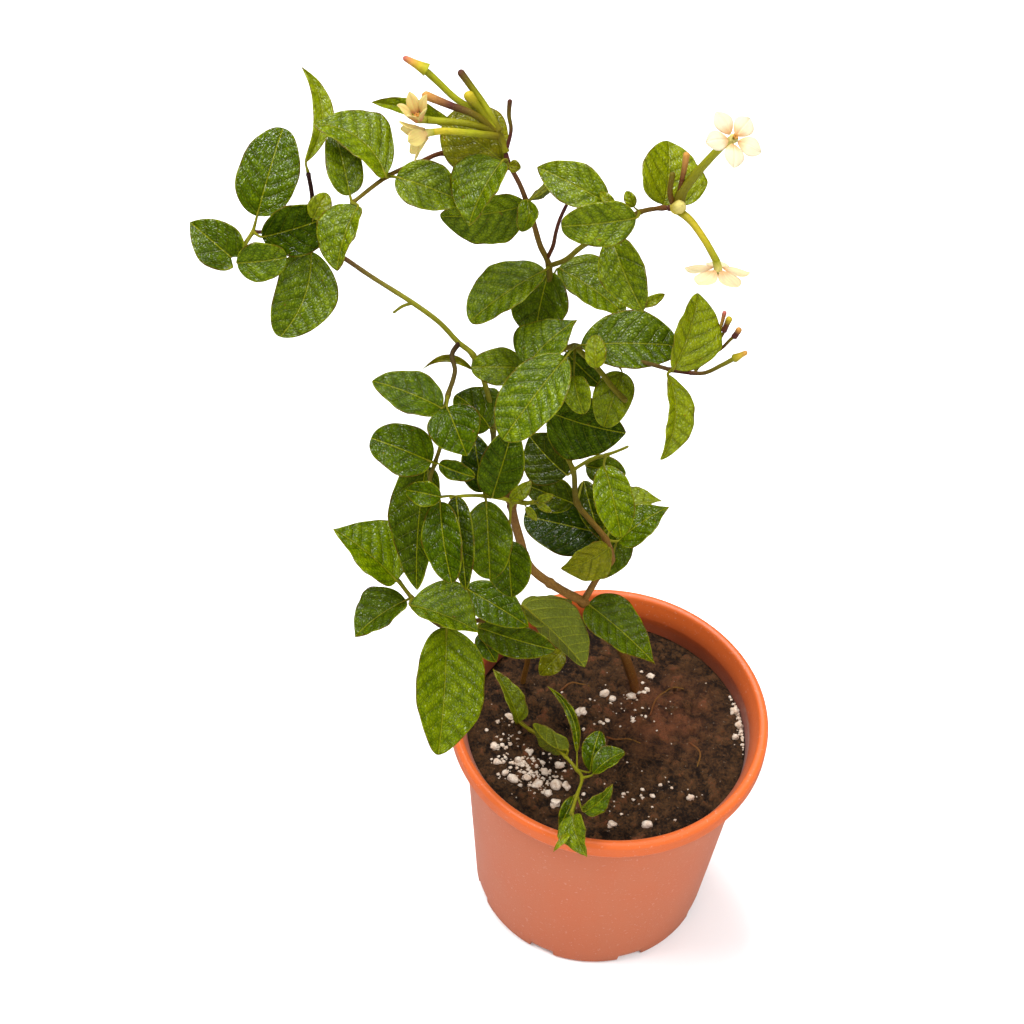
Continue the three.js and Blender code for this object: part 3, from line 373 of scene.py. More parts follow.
class Nodes:
    """A short way to wire the nodes of one material."""

    def __init__(self, name: str) -> None:
        """Starts a material that holds its shader and nothing else."""
        self.material = bpy.data.materials.new(name)
        self.material.use_nodes = True
        self.tree = self.material.node_tree
        self.shader = self.tree.nodes["Principled BSDF"]

    def feed(self, socket: Socket, value: Socket | float | tuple) -> None:
        """Links a socket, or sets its own value; a colour of three values is made opaque."""
        if isinstance(value, bpy.types.NodeSocket):
            self.tree.links.new(value, socket)
        elif socket.type == "RGBA" and len(value) == 3:
            socket.default_value = (*value, 1.0)
        else:
            socket.default_value = value

    def node(self, kind: str, inputs: dict, **settings: str | bool) -> bpy.types.Node:
        """Adds a node of that kind, with its inputs by name or number and its settings by name."""
        made = self.tree.nodes.new("ShaderNode" + kind)
        for key, value in settings.items():
            setattr(made, key, value)
        for key, value in inputs.items():
            self.feed(made.inputs[key], value)
        return made

    def place(self) -> Socket:
        """The place on the object, in metres."""
        return self.node("TexCoord", {}).outputs["Object"]

    def attribute(self, name: str) -> Socket:
        """The three painted numbers under that name."""
        return self.node("Attribute", {}, attribute_name=name, attribute_type="GEOMETRY").outputs["Vector"]

    def split(self, vector: Socket) -> tuple[Socket, Socket, Socket]:
        """The three parts of a vector."""
        return tuple(self.node("SeparateXYZ", {0: vector}).outputs)

    def scaled(self, vector: Socket, scale: Triple) -> Socket:
        """A vector with each part times a number."""
        return self.node("Mapping", {"Vector": vector, "Scale": scale}).outputs[0]

    def math(self, operation: str, a: Socket | float, b: Socket | float = 0.0) -> Socket:
        """One sum on numbers."""
        return self.node("Math", {0: a, 1: b}, operation=operation).outputs[0]

    def times(self, a: Socket | float, b: Socket | float) -> Socket:
        """a times b."""
        return self.math("MULTIPLY", a, b)

    def plus(self, *terms: Socket | float) -> Socket:
        """The sum of the terms."""
        total = terms[0]
        for term in terms[1:]:
            total = self.math("ADD", total, term)
        return total

    def span(self, value: Socket, low: float, high: float, start: float = 0.0, end: float = 1.0) -> Socket:
        """A smooth step of the value, from start at low to end at high."""
        inputs = {0: value, 1: low, 2: high, 3: start, 4: end}
        return self.node("MapRange", inputs, interpolation_type="SMOOTHSTEP").outputs[0]

    def noise(self, vector: Socket, scale: float, detail: float = 3.0, roughness: float = 0.5) -> Socket:
        """Soft noise from 0 to 1."""
        inputs = {"Vector": vector, "Scale": scale, "Detail": detail, "Roughness": roughness}
        return self.node("TexNoise", inputs).outputs["Fac"]

    def cells(self, vector: Socket, scale: float, feature: str = "DISTANCE_TO_EDGE") -> Socket:
        """Distances in a pattern of cells."""
        inputs = {"Vector": vector, "Scale": scale}
        return self.node("TexVoronoi", inputs, feature=feature).outputs["Distance"]

    def ramp(self, value: Socket, *stops: tuple[float, Triple]) -> Socket:
        """A colour from stops of (share, colour)."""
        made = self.node("ValToRGB", {0: value})
        bar = made.color_ramp.elements
        while len(bar) < len(stops):
            bar.new(0.5)
        for stop, (share, colour) in zip(bar, stops):
            stop.position = share
            stop.color = (*colour, 1.0)
        return made.outputs["Color"]

    def mix(
        self, share: Socket | float, a: Socket | Triple, b: Socket | Triple, blend: str = "MIX"
    ) -> Socket:
        """Two colours mixed, or blended in another way."""
        made = self.node("Mix", {0: share, 6: a, 7: b}, data_type="RGBA", blend_type=blend)
        return made.outputs[2]

    def bump(self, height: Socket, distance: float) -> Socket:
        """A bump normal of full strength, with the distance in metres."""
        return self.node("Bump", {"Height": height, "Distance": distance, "Strength": 1.0}).outputs[0]

    def finish(
        self, colour: Socket, roughness: Socket | float, normal: Socket, **own: float
    ) -> bpy.types.Material:
        """Feeds the shader and sets its own values, such as Specular_IOR_Level, by name."""
        self.feed(self.shader.inputs["Base Color"], colour)
        self.feed(self.shader.inputs["Roughness"], roughness)
        self.feed(self.shader.inputs["Normal"], normal)
        for name, value in own.items():
            self.shader.inputs[name.replace("_", " ")].default_value = value
        return self.material


class Green(Enum):
    """How a leaf is coloured: its lightness, its yellowness and its gloss, each from 0 to 1. The lightness is
    partly the leaf's own tone and partly painted shade, darkest for leaves deep in the foliage.
    """

    # the darkest level holds painted shade for leaves deep in the foliage, over their own dark green
    DEEP_SHADED = (0.08, 0.05, 0.6)
    DARK = (0.22, 0.05, 0.8)
    DARK_WET = (0.3, 0.0, 1.0)
    DUSKY = (0.36, 0.05, 0.7)
    WET = (0.44, 0.0, 1.0)
    MID = (0.5, 0.05, 0.55)
    FRESH = (0.6, 0.05, 0.4)
    BRIGHT = (0.68, 0.1, 0.35)
    BRIGHT_WET = (0.72, 0.05, 0.95)
    GOLD = (0.95, 0.25, 0.3)
    YELLOWISH = (0.85, 0.12, 0.4)
    OLIVE = (0.5, 0.7, 0.3)
    DULL = (0.5, 0.3, 0.1)


class Bark(Enum):
    """The colours that stems, stalks, tubes and buds run between."""

    GREEN = tint(152, 150, 12)
    LIME = tint(186, 188, 30)
    YELLOW = tint(226, 202, 44)
    BROWN = tint(152, 108, 44)
    RED_BROWN = tint(118, 64, 28)
    PURPLE = tint(104, 54, 46)
    DARK_PURPLE = tint(66, 34, 30)
    CREAM = tint(244, 228, 130)
    ORANGE = tint(244, 176, 84)
    PINK = tint(222, 112, 104)
    OLIVE = tint(128, 114, 14)


@dataclass(frozen=True)
class LeafFinish:
    """A leaf's skin, whose veins, net and margin follow the painted grid of its blade. Its colour holds
    painted light on the swollen pillows and painted shade in the net between them and, on the upper side, in
    the hollows along the side veins and beside the midrib.
    """

    under: bool = False
    # deep is the colour of the painted shade in the vein hollows, beside the midrib and in the net
    deep: Triple = tint(20, 34, 0)
    dark: Triple = tint(40, 62, 0)
    mid: Triple = tint(90, 114, 0)
    bright: Triple = tint(146, 166, 0)
    gold: Triple = tint(168, 154, 0)
    pale: Triple = tint(122, 132, 34)
    vein: Triple = tint(172, 176, 12)
    margin: Triple = tint(124, 74, 22)
    blemish: Triple = tint(128, 84, 10)

    def material(self) -> bpy.types.Material:
        """The material: side veins at whole numbers of the painted count, a net of pillows, soft blotches,
        painted shade in the net and in the upper side's vein hollows, and painted light on the pillows'
        crowns.
        """
        sign, dullness, shine = (-1.0, 0.5, 0.25) if self.under else (1.0, 0.3, 0.34)
        n = Nodes("leaf_under" if self.under else "leaf_upper")
        grid = n.attribute("grid")
        across, _, margin = n.split(grid)
        count, _, _ = n.split(n.attribute("vein"))
        light, yellow, gloss = n.split(n.attribute("green"))
        between = n.math("PINGPONG", count, 0.5)
        side = n.span(between, 0.012, 0.07, 1.0, 0.0)
        # painted shade: darker in the hollows along the side veins
        vein_hollow_shade = n.span(between, 0.0, 0.2, 1.0, 0.0)
        # painted light: lighter on the crowns between the side veins
        crown = n.span(between, 0.1, 0.45)
        rib = n.span(n.math("ABSOLUTE", across), 0.15, 0.6, 1.0, 0.0)
        # painted shade: darker beside the sunken midrib
        beside = n.span(n.math("ABSOLUTE", across), 0.3, 1.8, 1.0, 0.0)
        cell = n.cells(grid, 0.42)
        net = n.span(cell, 0.0, 0.14, 1.0, 0.0)
        pillow = n.math("POWER", n.span(cell, 0.0, 0.45), 0.6)
        blotch = n.noise(grid, 0.12, 3.0, 0.6)
        grain = n.noise(grid, 1.1, 4.0, 0.6)
        shade = n.times(n.math("SUBTRACT", blotch, 0.5), 0.9)
        fleck = n.times(n.math("SUBTRACT", grain, 0.5), 0.3)
        # painted light and shade on the pillows: lighter at their crowns and middles, darker at their edges
        pillow_light_and_shade = n.plus(n.times(crown, 0.12), n.times(n.math("SUBTRACT", pillow, 0.5), 0.26), -0.06)
        tone = n.plus(light, shade, fleck, pillow_light_and_shade)
        colour = n.ramp(tone, (0.0, self.dark), (0.5, self.mid), (1.0, self.bright))
        colour = n.mix(n.times(yellow, n.span(blotch, 0.2, 0.8, 0.4, 1.0)), colour, self.gold)
        if self.under:
            colour = n.mix(0.6, colour, self.pale)
            lines = n.math("MAXIMUM", n.times(side, 0.6), n.times(rib, 0.9))
        else:
            # painted shade in the vein hollows and beside the midrib, its strength varied by noise
            depth = n.span(n.noise(grid, 0.09, 1.0), 0.35, 0.65, 0.1, 0.42)
            sunk = n.math("MAXIMUM", n.times(vein_hollow_shade, depth), n.times(beside, 0.32))
            colour = n.mix(sunk, colour, self.deep)
            lines = n.math("MAXIMUM", n.times(side, 0.14), n.times(rib, 0.6))
        colour = n.mix(lines, colour, self.vein)
        # painted shade in the net of creases between the pillows
        colour = n.mix(n.times(net, 0.22), colour, self.deep)
        edge = n.span(margin, 0.25, 1.1, 1.0, 0.0)
        reddish = n.span(n.noise(grid, 0.07, 2.0), 0.42, 0.56)
        colour = n.mix(n.times(edge, 0.5), colour, n.mix(reddish, self.vein, self.margin))
        spots = n.span(n.noise(grid, 0.28, 2.0, 0.5), 0.72, 0.76)
        colour = n.mix(n.times(spots, 0.7), colour, self.blemish)
        swell = n.times(n.math("SUBTRACT", between, n.times(side, 0.3)), 0.5 * sign)
        pads = n.times(pillow, 0.26 * sign)
        height = n.plus(swell, pads, n.times(grain, 0.02), n.times(blotch, 1.4), n.times(rib, -0.15 * sign))
        rough = n.plus(dullness, n.times(gloss, -0.14), n.times(grain, 0.05))
        return n.finish(colour, rough, n.bump(height, MM), Specular_IOR_Level=shine)


@dataclass(frozen=True)
class BarkFinish:
    """The skin of stems, stalks and flower tubes, in the painted colour, streaked along them."""

    name: str = "bark"
    streaks: float = 0.55
    roughness: float = 0.6
    shadow: Triple = (0.42, 0.36, 0.34)
    relief: float = 0.6 * MM

    def material(self) -> bpy.types.Material:
        """The material: noise drawn out along the limb, darker in its hollows, and small pale corky dots."""
        n = Nodes(self.name)
        along = n.attribute("along")
        colour = n.attribute("shade")
        streak = n.noise(n.scaled(along, (0.35, 3.0, 1.0)), 1.0, 4.0, 0.6)
        dots = n.span(n.cells(n.scaled(along, (0.6, 1.6, 1.0)), 1.2, "F1"), 0.12, 0.2, 1.0, 0.0)
        dark = n.mix(1.0, colour, self.shadow, "MULTIPLY")
        colour = n.mix(n.times(n.span(streak, 0.35, 0.75), self.streaks), colour, dark)
        colour = n.mix(n.times(dots, 0.25), colour, Bark.CREAM.value)
        height = n.plus(streak, n.times(dots, 0.4))
        return n.finish(colour, self.roughness, n.bump(height, self.relief), Specular_IOR_Level=0.22)


@dataclass(frozen=True)
class PetalFinish:
    """A petal's skin: white to cream, flushed with pink from its root, and finely lined along it."""

    white: Triple = tint(250, 240, 206)
    cream: Triple = tint(250, 226, 110)
    pink: Triple = tint(236, 138, 112)
    relief: float = 0.3 * MM

    def material(self) -> bpy.types.Material:
        """The material: cream and pink fade with the painted distance from the root, on lengthwise noise."""
        n = Nodes("petal")
        along = n.attribute("along")
        share, lane, flush = n.split(along)
        yellow, _, _ = n.split(n.attribute("cream"))
        lines = n.noise(n.scaled(along, (1.2, 7.0, 3.0)), 1.0, 3.0, 0.5)
        creamy = n.math("MAXIMUM", yellow, n.span(share, 0.0, 0.5, 0.7, 0.0))
        colour = n.mix(creamy, self.white, self.cream)
        heart = n.span(share, 0.05, 0.45, 0.9, 0.0)
        blush = n.times(n.plus(heart, n.span(lines, 0.45, 0.75, 0.0, 0.5)), flush)
        colour = n.mix(blush, colour, self.pink)
        rib = n.span(n.math("ABSOLUTE", lane), 0.0, 0.1, 1.0, 0.0)
        height = n.plus(lines, n.times(rib, -0.5))
        own = {"Specular_IOR_Level": 0.2, "Subsurface_Weight": 0.15, "Subsurface_Scale": 0.002}
        return n.finish(colour, 0.55, n.bump(height, self.relief), **own)


@dataclass(frozen=True)
class PotFinish:
    """Moulded plastic: a bright rim, a body dulled by dust and rain, an inside darkened by soil stains and
    painted shade, and a soiled foot.
    """

    orange: Triple = tint(230, 106, 46)
    rim: Triple = tint(252, 116, 42)
    dust: Triple = tint(222, 126, 82)
    # the colour of soil stains and painted shade on the inside wall
    stain_and_shade: Triple = tint(132, 50, 20)
    soil: Triple = tint(116, 74, 56)
    scuff: Triple = (0.45, 0.12, 0.05)
    fleck: Triple = (0.9, 0.75, 0.65)
    rim_foot: float = 0.166
    height: float = 0.182
    relief: float = 0.25 * MM

    def material(self) -> bpy.types.Material:
        """The material: height above the floor sets what the plastic shows, and noise breaks its edges."""
        n = Nodes("moulded_plastic")
        spot = n.place()
        inside, _, _ = n.split(n.attribute("wall"))
        _, _, height = n.split(spot)
        broad = n.noise(spot, 16.0, 4.0, 0.6)
        grain = n.noise(spot, 900.0, 3.0, 0.7)
        drips = n.noise(n.scaled(spot, (90.0, 90.0, 6.0)), 1.0, 4.0, 0.6)
        speck = n.span(n.noise(spot, 420.0, 2.0, 0.6), 0.62, 0.72)
        body = n.span(height, self.rim_foot - 0.003, self.rim_foot + 0.001, 1.0, 0.0)
        washed = n.span(drips, 0.4, 0.7, -0.03, 0.05)
        dusty = n.times(body, n.plus(n.span(broad, 0.25, 0.8, 0.42, 0.75), washed))
        colour = n.mix(body, self.rim, self.orange)
        colour = n.mix(dusty, colour, self.dust)
        colour = n.mix(n.times(grain, 0.16), colour, self.scuff)
        colour = n.mix(n.times(speck, 0.12), colour, self.fleck)
        foot = n.times(n.span(height, 0.0, 0.014, 0.35, 0.0), n.span(broad, 0.35, 0.65))
        colour = n.mix(foot, colour, self.soil)
        # painted shade inside the wall, darker further down, mixed with soil stains
        inside_stain_and_shade = n.times(inside, n.span(height, self.height - 0.004, self.height - 0.016, 0.15, 0.8))
        colour = n.mix(n.times(inside_stain_and_shade, n.span(broad, 0.2, 0.7, 0.7, 1.0)), colour, self.stain_and_shade)
        rough = n.plus(0.34, n.times(body, 0.2), n.times(grain, 0.1))
        relief = n.plus(n.times(grain, 0.5), n.times(drips, 0.5))
        own = {"Specular_IOR_Level": 0.4, "Sheen_Weight": 0.12, "Sheen_Roughness": 0.4}
        return n.finish(colour, rough, n.bump(relief, self.relief), **own)


@dataclass(frozen=True)
class SoilFinish:
    """Damp potting mix: dark peat with reddish clods, pale dust and fine fibres."""

    peat: Triple = tint(34, 20, 10)
    brown: Triple = tint(112, 76, 42)
    red: Triple = tint(158, 92, 58)
    pale: Triple = tint(206, 178, 150)
    relief: float = 4.5 * MM

    def material(self) -> bpy.types.Material:
        """The material: the painted height lightens the clods, over layers of noise."""
        n = Nodes("potting_mix")
        spot = n.place()
        lift, redness, _ = n.split(n.attribute("lump"))
        coarse = n.noise(spot, 70.0, 6.0, 0.65)
        fine = n.noise(spot, 600.0, 5.0, 0.7)
        tone = n.plus(n.times(coarse, 1.3), n.times(fine, 1.5), n.times(lift, 0.4), -1.2)
        colour = n.ramp(tone, (0.05, self.peat), (0.5, self.brown), (0.95, self.red))
        colour = n.mix(n.times(redness, n.span(coarse, 0.3, 0.7)), colour, self.red)
        dust = n.span(n.noise(spot, 480.0, 2.0, 0.5), 0.68, 0.76)
        colour = n.mix(n.times(dust, 0.5), colour, self.pale)
        height = n.plus(n.times(coarse, 0.6), fine)
        rough = n.span(fine, 0.3, 0.8, 0.6, 0.95)
        return n.finish(colour, rough, n.bump(height, self.relief), Specular_IOR_Level=0.25)


@dataclass(frozen=True)
class GrainFinish:
    """Perlite: chalky white grains with soil in their pits."""

    white: Triple = tint(250, 232, 212)
    cream: Triple = tint(226, 196, 168)
    soil: Triple = tint(120, 84, 66)
    relief: float = 0.4 * MM

    def material(self) -> bpy.types.Material:
        """The material: pits from small cells, darkened by soil."""
        n = Nodes("perlite")
        spot = n.place()
        pits = n.cells(spot, 900.0, "F1")
        blotch = n.noise(spot, 260.0, 3.0, 0.6)
        colour = n.mix(n.span(blotch, 0.35, 0.7), self.white, self.cream)
        colour = n.mix(n.times(n.span(pits, 0.1, 0.35, 1.0, 0.0), 0.35), colour, self.soil)
        return n.finish(colour, 0.85, n.bump(pits, self.relief), Specular_IOR_Level=0.3)


@dataclass(frozen=True)
class FloorFinish:
    """A plain pale floor, faintly mottled."""

    pale: Triple = (0.94, 0.94, 0.95)
    warm: Triple = (0.92, 0.925, 0.94)
    relief: float = 0.2 * MM

    def material(self) -> bpy.types.Material:
        """The material: two near whites, by broad noise."""
        n = Nodes("floor")
        spot = n.place()
        colour = n.mix(n.noise(spot, 2.0, 2.0), self.pale, self.warm)
        return n.finish(colour, 0.9, n.bump(n.noise(spot, 60.0), self.relief), Specular_IOR_Level=0.1)


# The plant


@dataclass(frozen=True)
class Leaf:
    """A leaf on its stalk.

    It starts at the spot `at` on its stem. Its blade runs from the pixel `root` to the pixel `tip`, `near`
    mm closer to the eye than that spot, and `lean` takes its tip further away. A high `point` sharpens the
    tip, and `skew` gives one half more of the width.
    """

    name: str
    at: Triple
    root: Pixel
    tip: Pixel
    width: float
    green: Green
    near: float = 4.0
    lean: float = 0.0
    fold: float = 14.0
    turn: float = 0.0
    arch: float = 3.0
    bend: float = 0.0
    fullness: float = 0.8
    point: float = 0.65
    skew: float = 0.0
    lobes: float = 0.0

    ROOT_ROUNDNESS = 0.55
    RIPPLE = 0.025
    WAVE = 0.7
    FRILL = 0.45
    SAG = 0.5
    QUILT = 0.8
    GROOVE = 0.35
    RIB_WIDTH = 0.9
    RIB_DEPTH = 0.55
    VEIN_DRIFT = 0.16
    SKIN = 0.46
    VEIN_SPACING = 7.5
    FULL_QUILT_WIDTH = 22
    ROW_SPACING = 1.05
    LANE_SPACING = 1.15

    def seed(self) -> int:
        """A number of the leaf's own, from its name."""
        return zlib.crc32(self.name.encode())

    def lie(self) -> tuple[Array, Array, Array, Array, Array, Array]:
        """The joint, root and tip, and the directions along, out of and across the blade."""
        joint = SIGHT.pick(self.at)
        depth = SIGHT.depth(joint) - self.near
        root = SIGHT.at_depth(self.root, depth)
        tip = SIGHT.at_depth(self.tip, depth + self.lean)
        axis = unit(tip - root)
        facing = unit(np.array(SIGHT.eye) - (root + tip) / 2)
        normal = turned(unit(facing - axis * np.dot(facing, axis)), axis, self.turn)
        return joint, root, tip, axis, normal, np.cross(axis, normal)

    def blade(self) -> Surface:
        """The blade, in two skins closed at the margin.

        At a share s of its length and a lane l from -1 to 1, its half width is w/2 sin(pi s^f)^e, where e
        runs from 0.55 at the root to `point` at the tip. It folds up by |x| sin(fold), arches and bends by
        4 s (1 - s), waves at its margin by l^2 sin, and swells between its side veins by |sin(pi q)|^0.7,
        more in some stretches than in others, where q = n (s - 0.5 |x|/L - 0.9 (x/L)^2), shifted by a slow
        sine, counts the veins.
        """
        _, root, tip, axis, normal, across = self.lie()
        length = float(np.linalg.norm(tip - root))
        draw = np.random.default_rng(self.seed())
        phase = draw.uniform(0, 1, 4)
        rows = int(np.clip(length / self.ROW_SPACING, 14, 56))
        half_lanes = int(np.clip(self.width / 2 / self.LANE_SPACING, 3, 15))
        share = (1 - np.cos(math.pi * np.linspace(0, 1, rows + 2)[1:-1])) / 2
        s, lane = np.meshgrid(share, np.linspace(-1, 1, 2 * half_lanes + 1), indexing="ij")
        sharpness = self.ROOT_ROUNDNESS + (self.point - self.ROOT_ROUNDNESS) * s
        half = self.width / 2 * np.sin(math.pi * s**self.fullness) ** sharpness
        half = half * (1 + self.skew * np.sign(lane))
        half = half * (1 + self.RIPPLE * np.sin(2 * math.pi * (1.7 * s + phase[0]) + lane))
        x = half * lane
        fold = math.radians(self.fold)
        hump = 4 * s * (1 - s)
        pairs = np.clip(length / self.VEIN_SPACING, 3, 8)
        reach = np.abs(x) / length
        count = pairs * (s - 0.5 * reach - 0.9 * reach**2) + 0.2 * (lane > 0) + phase[1]
        count = count + self.VEIN_DRIFT * np.sin(2 * math.pi * (1.1 * s + phase[2] + 0.3 * (lane > 0)))
        crease = np.sqrt(lane**2 + 0.01) - 0.1
        waves = self.WAVE * lane**2 * np.sin(2 * math.pi * (2.3 * s + 0.3 * lane))
        frill = self.FRILL * self.WAVE * np.abs(lane) ** 3 * hump
        waves = waves + frill * np.sin(2 * math.pi * (5.3 * s + phase[2]))
        open_field = np.clip(np.abs(x) / 1.5, 0, 1) * (1 - np.abs(lane) ** 5) * hump**0.4
        swollen = np.abs(np.sin(math.pi * count)) ** 0.7 - 0.5
        quilt = self.QUILT * min(1, self.width / self.FULL_QUILT_WIDTH) * swollen * open_field
        quilt = quilt * (0.7 + 0.5 * np.sin(2 * math.pi * (0.8 * s + 0.45 * lane + phase[3])))
        rib = np.exp(-((x / self.RIB_WIDTH) ** 2)) * (1 - s)
        sag = self.SAG * np.sin(2 * math.pi * (0.9 * s + phase[3])) * lane * hump
        folded = half * crease * math.sin(fold)
        lift = folded + self.arch * hump + waves + quilt + sag - self.GROOVE * rib
        back = self.lobes * lane**2 * (1 - s) ** 5
        side = lane / np.sqrt(lane**2 + 0.02)
        grid = (
            root
            + axis * (length * s - back)[..., None]
            + across * (x * math.cos(fold) + self.bend * hump)[..., None]
            + normal * lift[..., None]
        )
        skin = normal * math.cos(fold) - across * (side * math.sin(fold))[..., None]
        thick = self.SKIN * (1 - 0.45 * np.abs(lane) ** 3)[..., None] / 2
        upper = grid + skin * thick
        lower = grid - skin * (thick + self.RIB_DEPTH * rib[..., None])
        rings = np.concatenate([upper, lower[:, ::-1]], axis=1)
        made = loft(rings, root, tip, np.repeat([0, 1], lane.shape[1]))
        margin = half * (1 - np.abs(lane))

        def doubled(*parts: Array) -> Array:
            """Three numbers for each point of both skins, with those of the two ends."""
            stack = np.stack(np.broadcast_arrays(*parts), axis=-1)
            both = np.concatenate([stack, stack[:, ::-1]], axis=1).reshape(-1, 3)
            return np.vstack([both, stack[0, half_lanes], stack[-1, half_lanes]])

        shift = 40 * phase[0]
        light, yellow, gloss = self.green.value
        fade = 0.12 * (draw.random(2) - 0.5)
        return made.painted(
            grid=doubled(x, length * s + shift, margin),
            vein=doubled(count, s, lane),
            green=(light + fade[0], yellow + fade[1], gloss),
        )

    def stalk(self) -> Surface:
        """The stalk, from its joint to the blade and on as the rib under it, thinning to nothing."""
        joint, root, tip, _, normal, across = self.lie()

        def under(s: float, drop: float) -> Array:
            """A point on the rib at a share of the blade's length."""
            hump = 4 * s * (1 - s)
            return root + (tip - root) * s + normal * (self.arch * hump - drop) + across * self.bend * hump

        path = smooth_way(np.array([joint, root - normal * 0.2, under(0.12, 0.7), under(0.3, 0.75)]), 0.9)
        share = distance_along(path) / distance_along(path)[-1]
        small = min(1.0, 0.55 + self.width / 50)
        radii = small * (1.0 - 0.75 * share + 0.35 * np.exp(-((share / 0.06) ** 2)))
        return paint_bark(tube(path, radii, 8), path, 8, (Bark.GREEN, Bark.GREEN), self.seed())


def paint_bark(limb: Surface, path: Array, sides: int, shades: tuple[Bark, ...], seed: int) -> Surface:
    """A limb with its colours run along it.

    Args:
        limb: A tube along the path.
        path: Its middle line.
        sides: Its points round a ring.
        shades: Colours, evenly spaced from its start to its end.
        seed: What its streaks are shifted by.

    Returns:
        The same limb, with `shade` and `along` painted.
    """
    distance = distance_along(path)
    share = distance / distance[-1]
    stops = np.linspace(0, 1, len(shades))
    colours = np.array([shade.value for shade in shades])
    rgb = np.stack([np.interp(share, stops, colours[:, c]) for c in range(3)], axis=-1)
    angle = np.linspace(0, 2 * math.pi, sides, endpoint=False)
    around = np.stack(
        [
            np.repeat(distance, sides) + seed % 97,
            np.tile(np.cos(angle), len(path)),
            np.tile(np.sin(angle), len(path)),
        ],
        axis=-1,
    )
    ends = np.array([[distance[0] + seed % 97, 0, 0], [distance[-1] + seed % 97, 0, 0]])
    return limb.painted(
        shade=np.vstack([np.repeat(rgb, sides, axis=0), rgb[0], rgb[-1]]), along=np.vstack([around, ends])
    )


@dataclass(frozen=True)
class Stem:
    """A stem along its spots, tapering, with a foot in the soil where it has one."""

    way: tuple[Triple, ...]
    start: float
    end: float
    shades: tuple[Bark, ...] = (Bark.GREEN, Bark.GREEN)
    foot: bool = False

    SPACING = 0.8
    SIDES = 14
    FOOT_HEIGHT = 134.0
    KNOT_REACH = 2.0
    KNOT_SWELL = 0.28

    def surface(self, knots: Array) -> Surface:
        """The limb, swollen by 0.28 exp(-(d/2)^2) at d mm from a joint, and uneven by 5 percent of noise.

        Args:
            knots: The joints that leaves and side stems leave it at.

        Returns:
            The painted limb.
        """
        picks = SIGHT.way(self.way)
        if self.foot:
            picks = np.vstack([[*picks[0][:2], self.FOOT_HEIGHT], picks])
        path = smooth_way(picks, self.SPACING)
        distance = distance_along(path)
        share = distance / distance[-1]
        radii = self.start + (self.end - self.start) * share
        gaps = np.linalg.norm(path[:, None] - knots[None], axis=-1)
        near = np.exp(-((gaps / self.KNOT_REACH) ** 2)).max(axis=1)
        radii = radii * (1 + self.KNOT_SWELL * near) * (1 + 0.05 * lattice_noise(path, 5.0, 3))
        made = tube(path, radii, self.SIDES, ridges=0.05)
        return paint_bark(made, path, self.SIDES, self.shades, int(picks[0][0] * 10) % 997)


@dataclass(frozen=True)
class Shoot:
    """A shoot: stems, and the leaves that they carry."""

    node: str
    stems: tuple[Stem, ...]
    leaves: tuple[Leaf, ...]

    def build(self, finishes: "Finishes") -> None:
        """Makes one piece of the blades and one of the stems and stalks."""
        knots = SIGHT.way(tuple(leaf.at for leaf in self.leaves))
        limbs = [stem.surface(knots) for stem in self.stems]
        limbs += [leaf.stalk() for leaf in self.leaves]
        name = self.node.removeprefix("shoot_")
        place(combined(limbs), f"stems_{name}", [finishes.bark], "bark", self.node)
        blades = combined([leaf.blade() for leaf in self.leaves])
        place(blades, f"leaves_{name}", [finishes.leaf, finishes.leaf_under], "leaf", self.node)


